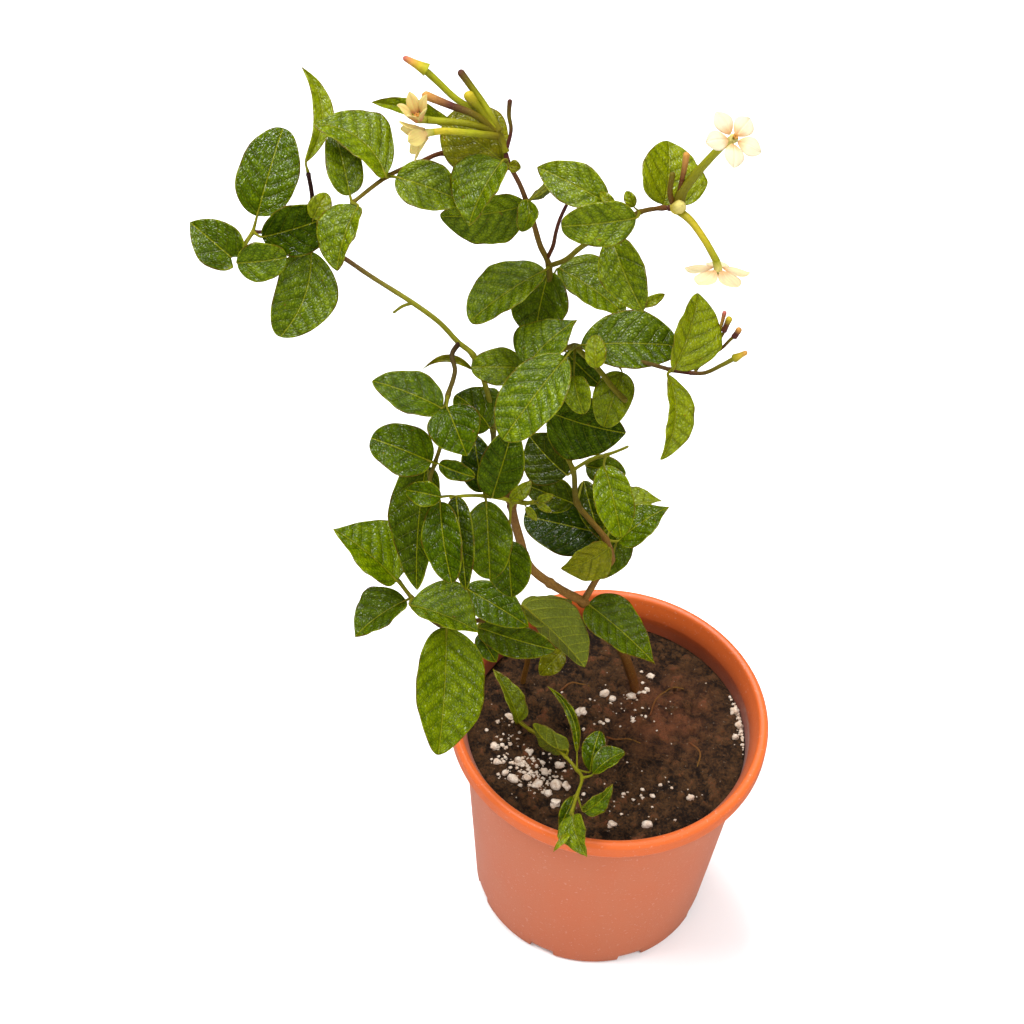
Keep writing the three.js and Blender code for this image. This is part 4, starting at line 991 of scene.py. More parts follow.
@dataclass(frozen=True)
class Flower:
    """An open flower: five petals square to the line from its centre to the spot `aim`, about a throat.

    `cup` tips the petals forward, `flush` is how pink they are and `cream` how yellow.
    """

    node: str
    centre: Triple
    aim: Triple
    length: float
    width: float
    spin: float
    cup: float
    flush: float
    cream: float

    PETALS = 5
    THROAT = 2.4
    FRONT = 0.8
    SKIN = 0.42
    STAMENS = 10
    ANTHER = (0.42, 0.42, 0.6)
    CURL = 1.2
    DISH = 0.14
    RUFFLE = 0.25
    GROOVE = 0.18

    def petal(self, centre: Array, ahead: Array, outward: Array, seed: int) -> Surface:
        """A petal: a blade with half width w/2 sin(pi s^1.15)^(0.62 + 0.1 s), its tip curled back by s^3."""
        root = centre + outward * self.THROAT * 1.05
        tip = centre + outward * self.length + ahead * self.length * self.cup
        axis = unit(tip - root)
        normal = unit(ahead - axis * np.dot(ahead, axis))
        across = np.cross(axis, normal)
        length = np.linalg.norm(tip - root)
        draw = np.random.default_rng(seed)
        share = (1 - np.cos(math.pi * np.linspace(0, 1, 20)[1:-1])) / 2
        s, lane = np.meshgrid(share, np.linspace(-1, 1, 13), indexing="ij")
        half = self.width / 2 * (np.sin(math.pi * s**1.15) ** (0.62 + 0.1 * s) + 0.12 * (1 - s) * np.sqrt(s))
        hump = 4 * s * (1 - s)
        ruffle = self.RUFFLE * np.sin(5 * lane + 6 * s + draw.uniform(0, 6)) * s
        lift = hump - self.CURL * s**3 - self.DISH * half * lane**2 + ruffle
        lift = lift - self.GROOVE * np.exp(-((half * lane / 0.7) ** 2))
        middle = root + axis * (length * s)[..., None]
        grid = middle + across * (half * lane)[..., None] + normal * lift[..., None]
        thick = normal * (self.SKIN / 2 * (1 - 0.4 * np.abs(lane) ** 3))[..., None]
        rings = np.concatenate([grid + thick, (grid - thick)[:, ::-1]], axis=1)
        made = loft(rings, root, tip - normal * self.CURL)
        stack = np.stack(np.broadcast_arrays(s, lane, self.flush), axis=-1)
        both = np.concatenate([stack, stack[:, ::-1]], axis=1).reshape(-1, 3)
        return made.painted(
            along=np.vstack([both, [0, 0, self.flush], [1, 0, self.flush]]), cream=(self.cream, 0.0, 0.0)
        )

    def build(self, mouth: Array, mouth_radius: float, finishes: "Finishes") -> None:
        """Makes the petals, and the throat with its stamens.

        Args:
            mouth: The end of the flower's tube.
            mouth_radius: The tube's radius there.
            finishes: The plant's materials.
        """
        centre = SIGHT.pick(self.centre)
        ahead = unit(SIGHT.pick(self.aim) - centre)
        start = unit(np.cross([0, 0, 1.0], ahead))
        seed = zlib.crc32(self.node.encode()) % 1000
        petals = [
            self.petal(centre, ahead, turned(start, ahead, self.spin + 360 * n / self.PETALS), seed + n)
            for n in range(self.PETALS)
        ]
        place(combined(petals), self.node.replace("flower", "petals"), [finishes.petal], "petal", self.node)
        path = smooth_way(np.array([mouth, centre, centre + ahead * self.FRONT]), 0.4)
        share = distance_along(path) / distance_along(path)[-1]
        radii = mouth_radius + (self.THROAT - mouth_radius) * share**2
        parts = [paint_bark(tube(path, radii, 16, rounded=False), path, 16, (Bark.LIME, Bark.CREAM), seed)]
        for n in range(self.STAMENS):
            outward = turned(start, ahead, 360 * n / self.STAMENS + 11)
            spread = 0.55 if n % 2 else 1.0
            knots = np.array([[0, 0.6], [1.2, 0.8 * spread], [3.0, 1.3 * spread]])
            spots = centre + knots[:, :1] * ahead + knots[:, 1:] * outward
            thread = smooth_way(spots, 0.4)
            filament = tube(thread, np.full(len(thread), 0.2), 6)
            parts.append(paint_bark(filament, thread, 6, (Bark.CREAM, Bark.LIME), n))
            anther = ball(spots[-1], np.array(self.ANTHER), seed + n, 0.05, 4, 6)
            parts.append(anther.painted(shade=Bark.ORANGE.value, along=(float(n), 0.0, 0.0)))
        name = self.node.replace("flower", "heart")
        place(combined(parts), name, [finishes.tube], "flower_tube", self.node)


@dataclass(frozen=True)
class Tube:
    """A flower's calyx tube or a bud, along its spots, with the flower at its end where it has one."""

    way: tuple[Triple, ...]
    start: float
    end: float
    shades: tuple[Bark, ...]
    flower: Flower | None = None

    SIDES = 14
    WAIST = -0.12

    def surface(self) -> Surface:
        """The tube, slimmer at its middle by a sine, and rounded where no flower opens."""
        path = smooth_way(SIGHT.way(self.way), 0.6)
        share = distance_along(path) / distance_along(path)[-1]
        radii = self.start + (self.end - self.start) * share
        radii = radii * (1 + self.WAIST * np.sin(math.pi * share))
        made = tube(path, radii, self.SIDES, ridges=0.08, rounded=self.flower is None)
        return paint_bark(made, path, self.SIDES, self.shades, int(self.way[0][0]))


@dataclass(frozen=True)
class Cluster:
    """A flower cluster: tubes and buds that fan from one stalk."""

    node: str
    tubes: tuple[Tube, ...]

    def build(self, finishes: "Finishes") -> None:
        """Makes the tubes as one piece, then each open flower."""
        tubes = combined([t.surface() for t in self.tubes])
        place(tubes, f"tubes_{self.node}", [finishes.tube], "flower_tube", self.node)
        for t in self.tubes:
            if t.flower:
                t.flower.build(SIGHT.pick(t.way[-1]), t.end, finishes)


WOODY_STEM = Stem(
    (
        (635, 690, 37), (628, 665, 35), (622, 650, 34), (605, 620, 30), (583, 602, 27), (565, 592, 25),
        (550, 583, 24), (535, 572, 22), (526, 560, 21), (520, 540, 20), (513, 513, 20), (510, 480, 22),
        (515, 440, 25), (530, 400, 30),
    ),
    3.3,
    2.2,
    (Bark.RED_BROWN, Bark.BROWN, Bark.BROWN, Bark.RED_BROWN),
    foot=True,
)

FORKS = ((583, 602, 27), (550, 583, 24), (512, 506, 20), (530, 400, 30))

SHOOTS = (
    Shoot(
        "shoot_crown",
        (
            Stem(((530, 400, 30), (540, 350, 36), (547, 310, 41), (549, 266, 45), (540, 245, 46),
                 (533, 221, 47), (527, 203, 48), (520, 185, 49), (511, 168, 50), (507, 160, 50.5),
                 (506, 152, 52)), 2, 1.2, (Bark.BROWN, Bark.OLIVE, Bark.OLIVE, Bark.BROWN, Bark.PURPLE)),
            Stem(((548, 257, 45.4), (553, 246, 44.6), (556, 232, 44.2), (560, 219, 44.5), (567, 204, 46)),
                 1.2, 1, (Bark.RED_BROWN, Bark.PURPLE)),
        ),
        (
            Leaf("n", (549, 266, 45), (545, 270), (470, 322), 31.2, Green.FRESH, near=5, turn=38,
                 fullness=0.95, point=0.45, skew=0.15),
            Leaf("o", (549, 266, 45), (549, 271), (535, 338), 35.3, Green.DUSKY, near=-6, lean=12, turn=16,
                 point=0.6, skew=0.03),
            Leaf("p1", (547, 310, 41), (558, 268), (625, 316), 32.8, Green.FRESH, near=6, turn=-38,
                 fullness=0.85, point=0.7, skew=-0.18),
            Leaf("e", (507, 160, 50.5), (502, 161), (469, 226), 32.6, Green.FRESH, near=9, turn=38,
                 fullness=0.65, point=0.8, skew=0.34),
            Leaf("f", (507, 160, 50.5), (504, 162), (446, 118), 37.6, Green.OLIVE, near=-3, lean=2,
                 fold=-12, turn=4, fullness=1.1, point=0.45, skew=0.04),
            Leaf("h", (527, 203, 48), (527, 205), (440, 216), 33.4, Green.FRESH, near=-2, lean=4, turn=-38,
                 fullness=0.85, point=0.6, skew=-0.12),
            Leaf("i", (527, 203, 48), (527, 200), (522, 232), 15.3, Green.BRIGHT, near=4, fold=40, turn=12,
                 bend=-3, fullness=0.9, point=0.5),
            Leaf("k2", (527, 203, 48), (554, 180), (528, 200), 7, Green.DULL, near=1, fold=30, turn=160,
                 bend=3),
            Leaf("bract", (507, 160, 50.5), (509, 165), (521, 168), 7, Green.OLIVE, near=3),
        ),
    ),
    Shoot(
        "shoot_side_branch",
        (
            Stem(((511, 168, 50), (482, 161, 67), (445, 153, 70), (420, 162, 58), (388, 176, 42),
                 (352, 203, 26)), 1.5, 1.1, (Bark.RED_BROWN, Bark.RED_BROWN, Bark.OLIVE)),
        ),
        (
            Leaf("a", (352, 203, 26), (350, 195), (333, 128), 20, Green.BRIGHT, near=-6, lean=8, turn=10,
                 fullness=0.7, point=0.6),
            Leaf("b", (352, 203, 26), (358, 206), (337, 271), 24.6, Green.BRIGHT, near=5, turn=38,
                 fullness=0.7, point=0.6, skew=0.39),
            Leaf("c", (388, 176, 42), (386, 176), (315, 124), 30.6, Green.BRIGHT, near=7, turn=38, bend=7,
                 fullness=0.85, point=0.55, skew=0.18),
            Leaf("d", (388, 176, 42), (396, 177), (462, 202), 27.7, Green.BRIGHT, near=3, lean=2, turn=-18,
                 point=0.6),
            Leaf("g", (445, 153, 70), (455, 128), (371, 102), 17.1, Green.GOLD, near=-2, fold=50, turn=22,
                 arch=6, fullness=0.9, point=0.9, skew=-0.2),
        ),
    ),
    Shoot(
        "shoot_upper_right",
        (
            Stem(((549, 266, 45), (565, 260, 43), (580, 248, 40), (593, 240, 37), (617, 226, 29),
                 (640, 212, 21), (662, 208, 14), (669, 208, 12)), 1.5, 1.2,
                 (Bark.OLIVE, Bark.GREEN, Bark.RED_BROWN)),
        ),
        (
            Leaf("k", (617, 226, 29), (607, 203), (537, 167), 24.1, Green.BRIGHT, near=5, lean=4, turn=12,
                 fullness=0.85, point=0.8),
            Leaf("l", (640, 212, 21), (636, 218), (561, 226), 24.4, Green.BRIGHT, near=9, turn=-14,
                 fullness=0.85, point=0.42),
            Leaf("m", (662, 208, 14), (664, 205), (668, 141), 38, Green.GOLD, near=-7, lean=8, turn=28,
                 fullness=0.65, point=0.6, skew=0.06),
            Leaf("p2", (617, 226, 29), (612, 239), (643, 311), 25.9, Green.FRESH, near=2, turn=20,
                 point=0.6),
            Leaf("k3", (617, 226, 29), (614, 206), (600, 192), 6, Green.GOLD, near=7),
            Leaf("k4", (640, 212, 21), (634, 207), (626, 191), 8, Green.GOLD, near=3, fold=40),
            Leaf("p3", (617, 226, 29), (641, 306), (665, 294), 6.6, Green.GOLD, near=1, fold=30, turn=6,
                 point=0.7, skew=-0.08),
        ),
    ),
    Shoot(
        "shoot_upper_left",
        (
            Stem(((511, 505, 20), (497, 480, 20), (493, 430, 22), (488, 395, 24), (473, 355, 32),
                 (458, 342, 38), (440, 323, 46), (413, 303, 56), (372, 277, 68), (350, 262, 74),
                 (330, 248, 79), (313, 225, 83), (312, 195, 86), (308, 172, 88)), 1.7, 1.2,
                 (Bark.BROWN, Bark.OLIVE, Bark.GREEN, Bark.GREEN, Bark.PURPLE, Bark.DARK_PURPLE)),
            Stem(((313, 225, 83), (290, 232, 80), (264, 232, 76), (253, 232, 74)), 1.2, 1,
                 (Bark.DARK_PURPLE, Bark.PURPLE)),
            Stem(((413, 303, 56), (403, 306, 57), (393, 313, 58)), 1, 0.8),
        ),
        (
            Leaf("u1", (308, 172, 88), (306, 162), (301, 66), 12.8, Green.GOLD, near=2, lean=6, fold=30,
                 turn=10, bend=10, fullness=0.95, point=0.9),
            Leaf("u2", (253, 232, 74), (257, 216), (283, 128), 34.6, Green.WET, near=2, lean=6, fold=10,
                 turn=-8, point=0.45),
            Leaf("u3", (253, 232, 74), (262, 237), (333, 215), 31.1, Green.DARK_WET, near=6, turn=18,
                 fullness=0.95, point=0.6, skew=0.03),
            Leaf("u4", (253, 232, 74), (231, 257), (190, 222), 27.2, Green.DUSKY, near=3, turn=0,
                 fullness=0.6, point=0.8, skew=0.04, lobes=5),
            Leaf("u5", (253, 232, 74), (237, 263), (287, 257), 22.9, Green.FRESH, near=8, turn=12,
                 fullness=0.85, point=0.4),
            Leaf("u6", (313, 225, 83), (311, 251), (280, 337), 36.3, Green.FRESH, near=1, turn=-4, bend=-5,
                 fullness=0.85, point=0.5),
            Leaf("u7", (313, 225, 83), (313, 219), (327, 193), 13.4, Green.GOLD, near=18, turn=-4,
                 point=0.5, skew=0.05),
            Leaf("bl", (493, 430, 22), (490, 428), (455, 395), 34.5, Green.DUSKY, near=18, turn=36,
                 fullness=0.75, point=0.6, skew=0.05),
            Leaf("bm", (473, 355, 32), (472, 369), (422, 370), 6.3, Green.OLIVE, near=-3, fold=45, turn=-4,
                 arch=3, bend=6.5, fullness=0.7, point=1, skew=0.06),
        ),
    ),
    Shoot(
        "shoot_right",
        (
            Stem(((541, 352, 36), (560, 350, 32), (575, 346, 29), (600, 352, 22), (650, 364, 6),
                 (672, 370, -2), (690, 373, -8)), 1.5, 1.1, (Bark.OLIVE, Bark.OLIVE, Bark.PURPLE)),
            Stem(((575, 346, 29), (600, 371, 22), (613, 388, 16), (627, 402, 8)), 1.5, 1.7,
                 (Bark.GREEN, Bark.OLIVE)),
        ),
        (
            Leaf("q", (541, 352, 36), (526, 366), (577, 320), 33.8, Green.FRESH, near=35, turn=-34,
                 fullness=0.55, point=1, skew=-0.04),
            Leaf("r", (560, 350, 32), (526, 368), (471, 367), 21.5, Green.BRIGHT, near=7, turn=6,
                 fullness=0.9, point=0.45),
            Leaf("q2", (575, 346, 29), (566, 357), (503, 440), 34.7, Green.FRESH, near=34, lean=4, turn=16,
                 fullness=0.95, point=0.5, skew=0.03),
            Leaf("v", (600, 352, 22), (596, 368), (595, 335), 12.1, Green.GOLD, near=22, turn=-4, point=0.4,
                 skew=0.05),
            Leaf("w", (575, 346, 29), (574, 376), (584, 414), 16.6, Green.YELLOWISH, near=6, turn=12,
                 point=0.5),
            Leaf("x", (600, 352, 22), (622, 372), (604, 427), 22.9, Green.YELLOWISH, near=-20, turn=6,
                 point=0.42),
            Leaf("s", (575, 346, 29), (581, 345), (677, 346), 35.7, Green.MID, near=16, lean=4, turn=-24,
                 fullness=1.05, point=0.42, skew=-0.04),
            Leaf("y", (672, 370, -2), (674, 369), (698, 293), 30.7, Green.GOLD, near=11, lean=4, turn=38,
                 fullness=0.9, skew=0.31),
            Leaf("z", (672, 370, -2), (668, 374), (661, 460), 18.2, Green.GOLD, near=3, fold=20, turn=-38,
                 bend=-5, fullness=1, point=0.62, skew=-0.23),
            Leaf("t", (560, 350, 32), (566, 352), (601, 386), 15, Green.DUSKY, near=-10, turn=8, point=0.6),
        ),
    ),
    Shoot(
        "shoot_hanging",
        (
            Stem(((459, 343, 38), (452, 355, 26), (455, 370, 17), (453, 380, 12), (448, 395, 5),
                 (445, 412, -2), (443, 435, -9), (440, 448, -12), (435, 463, -16), (430, 482, -20),
                 (438, 497, -22)), 1.5, 1.1, (Bark.DARK_PURPLE, Bark.OLIVE, Bark.OLIVE)),
        ),
        (
            Leaf("ba", (448, 395, 5), (442, 408), (372, 381), 26.4, Green.MID, near=4, turn=24,
                 fullness=0.75, point=0.7),
            Leaf("bb", (448, 395, 5), (447, 407), (467, 456), 30.8, Green.WET, near=8, turn=-2,
                 fullness=0.7, point=0.85, skew=0.03),
            Leaf("bc", (435, 463, -16), (432, 462), (371, 438), 29.7, Green.WET, near=5, turn=8, point=0.4),
            Leaf("bd", (435, 463, -16), (439, 464), (475, 477), 11.6, Green.DARK_WET, near=5, turn=12,
                 point=0.5, skew=-0.06),
            Leaf("be", (430, 482, -20), (441, 497), (406, 490), 15.9, Green.WET, near=7, fold=25, turn=4,
                 fullness=0.85, point=0.45, skew=-0.06),
            Leaf("bf", (430, 482, -20), (426, 466), (417, 590), 36.2, Green.DARK, near=-14, lean=12,
                 turn=38, fullness=0.6, point=0.7, skew=0.07),
            Leaf("bg", (438, 497, -22), (440, 502), (452, 583), 24.7, Green.DARK_WET, near=4, turn=22,
                 fullness=0.85, point=0.5),
            Leaf("bg2", (438, 497, -22), (456, 497), (466, 590), 16.2, Green.DARK, near=-3, turn=-4,
                 fullness=0.7, point=0.6, skew=0.04),
        ),
    ),
    Shoot(
        "shoot_low_centre",
        (
            Stem(((512, 506, 20), (511, 501, 12), (485, 496, 4), (462, 496, -2), (449, 498, -5)), 1.3, 1,
                 (Bark.GREEN, Bark.LIME)),
            Stem(((511, 501, 12), (525, 503, 8), (535, 502, 6)), 1.3, 1.2),
        ),
        (
            Leaf("bh", (485, 496, 4), (486, 501), (490, 579), 29.5, Green.WET, near=5, turn=-4,
                 fullness=0.95, point=0.45, skew=0.03),
            Leaf("bj", (485, 496, 4), (492, 497), (513, 428), 26.3, Green.DUSKY, near=12, lean=-24, turn=6,
                 fullness=0.9, point=0.5, skew=-0.03),
            Leaf("bk", (485, 496, 4), (484, 492), (474, 434), 21, Green.DEEP_SHADED, near=2, lean=4, turn=-10,
                 fullness=0.7, point=0.6),
            Leaf("y1", (513, 501, 11), (510, 500), (531, 481), 9, Green.GOLD, near=2, skew=0.25),
            Leaf("y2", (535, 502, 6), (537, 501), (554, 495), 5.5, Green.GOLD, near=2),
            Leaf("y3", (525, 503, 8), (526, 507), (537, 521), 5, Green.GOLD, near=2),
            Leaf("y4", (535, 502, 6), (537, 504), (552, 512), 4.5, Green.GOLD, near=2),
            Leaf("ci", (511, 501, 12), (509, 541), (512, 597), 27.8, Green.DARK_WET, near=-2, turn=8,
                 fullness=0.85, point=0.55),
        ),
    ),
    Shoot(
        "shoot_right_low",
        (
            Stem(((583, 602, 27), (590, 590, 29), (598, 577, 31), (611, 560, 35), (606, 540, 39),
                 (590, 520, 43), (577, 503, 46), (573, 470, 51), (560, 446, 54), (548, 426, 56)), 2.2, 1.4,
                 (Bark.BROWN, Bark.BROWN, Bark.OLIVE, Bark.GREEN)),
            Stem(((573, 470, 51), (590, 460, 50), (606, 455, 49), (620, 450, 50), (629, 446, 51)), 1.2,
                 0.9),
        ),
        (
            Leaf("aa", (548, 426, 56), (549, 412), (626, 433), 44, Green.DARK, near=3, turn=28,
                 fullness=0.72, point=0.75, skew=0.07),
            Leaf("ab", (573, 470, 51), (567, 475), (530, 436), 34.4, Green.DEEP_SHADED, near=-2, lean=6, turn=-22,
                 point=0.6, skew=-0.03),
            Leaf("ae", (606, 540, 39), (606, 535), (524, 516), 39.5, Green.DEEP_SHADED, near=-12, turn=8,
                 fullness=0.9, point=0.45),
            Leaf("ag", (606, 455, 49), (604, 465), (621, 537), 24.7, Green.BRIGHT_WET, near=6, turn=-12,
                 fullness=0.9, point=0.42),
            Leaf("ah", (606, 540, 39), (618, 541), (669, 507), 27.4, Green.WET, near=-1, turn=-30,
                 fullness=0.6, point=0.9),
            Leaf("ai", (606, 540, 39), (618, 512), (662, 501), 18.2, Green.GOLD, near=-12, turn=-38,
                 fullness=0.65, point=0.9, skew=-0.43),
            Leaf("aj", (611, 560, 35), (622, 524), (600, 579), 24, Green.DUSKY, near=-9, turn=-18,
                 point=0.6),
            Leaf("af", (611, 560, 35), (609, 548), (561, 569), 28.9, Green.OLIVE, near=14, turn=-38,
                 fullness=0.7, point=0.8, skew=-0.07),
            Leaf("ak", (590, 460, 50), (586, 466), (626, 474), 18.4, Green.DUSKY, near=-3, turn=-4,
                 point=0.6, skew=0.04),
            Leaf("al", (577, 503, 46), (584, 481), (602, 541), 16.2, Green.DEEP_SHADED, near=-13, turn=14,
                 point=0.8, skew=-0.03),
            Leaf("ab2", (577, 503, 46), (573, 503), (525, 484), 22.4, Green.DARK, near=-1, turn=-4,
                 point=0.6, skew=0.04),
        ),
    ),
    Shoot(
        "shoot_lower_left",
        (
            Stem(((523, 682, 36), (528, 655, 30), (521, 624, 20), (483, 620, 0), (440, 625, -22),
                 (412, 598, -24), (398, 580, -22)), 1.9, 1.2,
                 (Bark.BROWN, Bark.BROWN, Bark.OLIVE, Bark.RED_BROWN, Bark.GREEN), foot=True),
        ),
        (
            Leaf("ca", (398, 580, -22), (397, 581), (333, 529), 45, Green.BRIGHT_WET, near=4, turn=38,
                 fullness=0.6, point=1, skew=0.35),
            Leaf("cb", (412, 598, -24), (406, 600), (355, 637), 30.2, Green.DUSKY, near=1, turn=38,
                 point=0.9, skew=0.24),
            Leaf("cc", (412, 598, -24), (410, 605), (478, 632), 34.3, Green.FRESH, near=7, turn=-38,
                 fullness=0.9, point=0.9, skew=-0.39),
            Leaf("cd", (440, 625, -22), (446, 628), (438, 755), 48, Green.BRIGHT_WET, near=4, lean=-10,
                 turn=-28, point=0.6, skew=-0.07),
            Leaf("ce", (483, 620, 0), (465, 588), (529, 627), 25.5, Green.WET, near=8, turn=-12, point=0.8),
            Leaf("cf", (521, 624, 20), (524, 606), (585, 667), 33.2, Green.DULL, near=10, fold=20, turn=218,
                 point=0.7, skew=0.3),
            Leaf("cf2", (521, 624, 20), (521, 606), (572, 602), 26.5, Green.DULL, near=2, fold=14, turn=142,
                 point=0.6, skew=-0.09),
            Leaf("cg", (483, 620, 0), (478, 627), (556, 650), 22.9, Green.DARK, near=-3, turn=16,
                 point=0.6),
            Leaf("cg2", (483, 620, 0), (479, 634), (496, 662), 14, Green.DUSKY, near=-9),
            Leaf("ch", (528, 655, 30), (562, 651), (540, 675), 16, Green.OLIVE, near=3),
        ),
    ),
    Shoot(
        "leaf_at_foot",
        (
        ),
        (
            Leaf("cj", (594, 611, 28.5), (588, 604), (655, 664), 33.3, Green.DUSKY, near=8, turn=-26,
                 fullness=0.58, point=1, skew=-0.04),
        ),
    ),
    Shoot(
        "shoot_over_soil",
        (
            Stem(((518, 722, 2), (530, 730, -8), (545, 740, -22), (566, 757, -42), (577, 770, -52),
                 (582, 778, -62), (577, 795, -78), (571, 813, -92)), 1.3, 1,
                 (Bark.OLIVE, Bark.GREEN, Bark.GREEN), foot=True),
        ),
        (
            Leaf("da", (530, 730, -8), (519, 722), (493, 669), 20.1, Green.DULL, near=4, fold=40, turn=34,
                 fullness=0.55, point=0.9, skew=-0.05),
            Leaf("db", (566, 757, -42), (568, 750), (533, 724), 17.9, Green.DULL, near=3, lean=6, turn=142,
                 arch=6, bend=9.5, point=0.6, skew=-0.08),
            Leaf("dc", (577, 770, -52), (577, 752), (547, 686), 7.6, Green.DARK, near=2, lean=8, fold=35,
                 turn=-4, bend=6.5, point=0.9, skew=0.05),
            Leaf("de", (577, 770, -52), (590, 772), (600, 731), 16.1, Green.DARK_WET, near=4, turn=-18,
                 fullness=1.2, point=0.5, skew=0.04),
            Leaf("df", (582, 778, -62), (592, 775), (625, 752), 19.4, Green.DUSKY, near=2, fold=30,
                 turn=-36, fullness=1.3, point=0.6, skew=0.04),
            Leaf("dg", (577, 795, -78), (574, 796), (559, 828), 9.9, Green.DARK, near=1, fold=30, turn=-4,
                 point=0.8, skew=0.09),
            Leaf("di", (577, 795, -78), (584, 812), (613, 784), 14.6, Green.MID, near=4, turn=38,
                 fullness=0.6, point=0.9),
            Leaf("dj", (571, 813, -92), (573, 815), (587, 857), 22.3, Green.BRIGHT, near=4, lean=-6,
                 turn=38, fullness=0.6, point=1.1, skew=0.09),
            Leaf("dk", (571, 813, -92), (570, 832), (553, 852), 4.6, Green.GOLD, near=4, lean=-6, turn=16,
                 point=1, skew=-0.31),
        ),
    ),
)

CLUSTERS = (
    Cluster(
        "flower_cluster_left",
        (
            Tube(((506, 152, 52), (503, 143, 54), (494, 128, 56)), 2, 2.4, (Bark.GREEN, Bark.OLIVE)),
            Tube(((500, 137, 55), (480, 115, 60), (455, 98, 64), (438, 82, 66), (425, 70, 67)), 2, 1.8,
                 (Bark.OLIVE, Bark.LIME, Bark.LIME)),
            Tube(((427, 70, 67), (416, 64, 68), (403, 57, 69)), 3.6, 1.4,
                 (Bark.LIME, Bark.YELLOW, Bark.ORANGE, Bark.PINK)),
            Tube(((499, 131, 56), (485, 106, 61), (470, 85, 65), (459, 70, 67)), 2.2, 2,
                 (Bark.OLIVE, Bark.LIME, Bark.GREEN, Bark.PURPLE)),
            Tube(((496, 132, 55), (478, 108, 58), (466, 92, 60)), 1.6, 3.2,
                 (Bark.LIME, Bark.GREEN, Bark.GREEN, Bark.YELLOW)),
            Tube(((497, 133, 55), (475, 115, 53), (452, 106, 53), (422, 94, 54)), 1.6, 2.3,
                 (Bark.OLIVE, Bark.OLIVE, Bark.PURPLE, Bark.ORANGE)),
            Tube(((506, 152, 52), (511, 130, 56), (509, 115, 58), (510, 99, 60)), 1, 1.3,
                 (Bark.PURPLE, Bark.PURPLE, Bark.OLIVE, Bark.PURPLE)),
            Tube(((497, 131, 56), (470, 124, 50), (440, 121, 47), (427, 120, 46)), 2.2, 1.9,
                 (Bark.OLIVE, Bark.GREEN, Bark.LIME), Flower("flower_left_upper", (418, 119, 46),
                 (412, 99, 43), 7, 6.5, 10, 1.8, 0.8, 0.75)),
            Tube(((497, 136, 54), (470, 133, 46), (445, 131, 43), (434, 132, 42)), 2.2, 1.9,
                 (Bark.OLIVE, Bark.LIME, Bark.YELLOW), Flower("flower_left_lower", (427, 133, 41),
                 (412, 139, 38), 10, 8.5, 40, 1.2, 0.35, 0.8)),
        ),
    ),
    Cluster(
        "flower_cluster_right",
        (
            Tube(((669, 208, 12), (675, 208, 10), (682, 208, 8)), 1.7, 2.3, (Bark.PURPLE, Bark.PURPLE)),
            Tube(((678, 206, 9), (682, 192, 10), (696, 174, 10), (713, 155, 10), (722, 146, 10)), 3, 1.9,
                 (Bark.OLIVE, Bark.GREEN, Bark.LIME), Flower("flower_right_upper", (733, 139, 9),
                 (745, 127, 4.1), 15.5, 10.5, 20, 0.12, 0.45, 0.05)),
            Tube(((676, 205, 9), (680, 188, 10), (684, 170, 12), (687, 152, 14)), 1, 1.8,
                 (Bark.OLIVE, Bark.RED_BROWN, Bark.ORANGE)),
            Tube(((674, 207, 9), (670, 192, 9), (673, 172, 11)), 1.6, 1.6, (Bark.RED_BROWN, Bark.OLIVE)),
            Tube(((676, 209, 8), (690, 220, 1), (704, 239, -4), (716, 260, -7)), 2.3, 2,
                 (Bark.GREEN, Bark.YELLOW, Bark.LIME), Flower("flower_right_lower", (718, 269, -9),
                 (716, 289, -12.6), 17, 11.5, 59, 0.25, 0.45, 0.3)),
            Tube(((676, 208, 8), (682, 206, 3)), 3.4, 4.2, (Bark.YELLOW, Bark.CREAM)),
        ),
    ),
    Cluster(
        "bud_cluster_right",
        (
            Tube(((690, 373, -8), (704, 373, -12), (722, 365, -17), (737, 357, -20)), 1.2, 1.3,
                 (Bark.PURPLE, Bark.OLIVE, Bark.GREEN)),
            Tube(((735, 358, -19.6), (741, 355, -21), (747, 352, -22)), 2.4, 1.3,
                 (Bark.GREEN, Bark.YELLOW, Bark.ORANGE)),
            Tube(((694, 373, -9), (703, 362, 5), (713, 354, 9), (722, 348, 11), (731, 339, 12),
                 (735, 336, 12.5)), 0.9, 1, (Bark.OLIVE, Bark.DARK_PURPLE, Bark.PURPLE, Bark.OLIVE)),
            Tube(((703, 362, 5), (713, 350, 9), (720, 339, 12), (725, 330, 13)), 0.8, 0.9,
                 (Bark.OLIVE, Bark.PURPLE, Bark.OLIVE)),
            Tube(((734, 337, 12.4), (737, 333, 12.8), (740, 328, 13)), 1.8, 2,
                 (Bark.PURPLE, Bark.PURPLE, Bark.ORANGE)),
            Tube(((724, 331, 13), (727, 324, 13.6), (730, 317, 14)), 1.6, 2.1,
                 (Bark.PURPLE, Bark.RED_BROWN, Bark.YELLOW)),
            Tube(((713, 350, 9), (719, 333, 15), (725, 311, 17)), 0.8, 1.3,
                 (Bark.OLIVE, Bark.YELLOW, Bark.PINK)),
        ),
    ),
)


# The pot and its soil


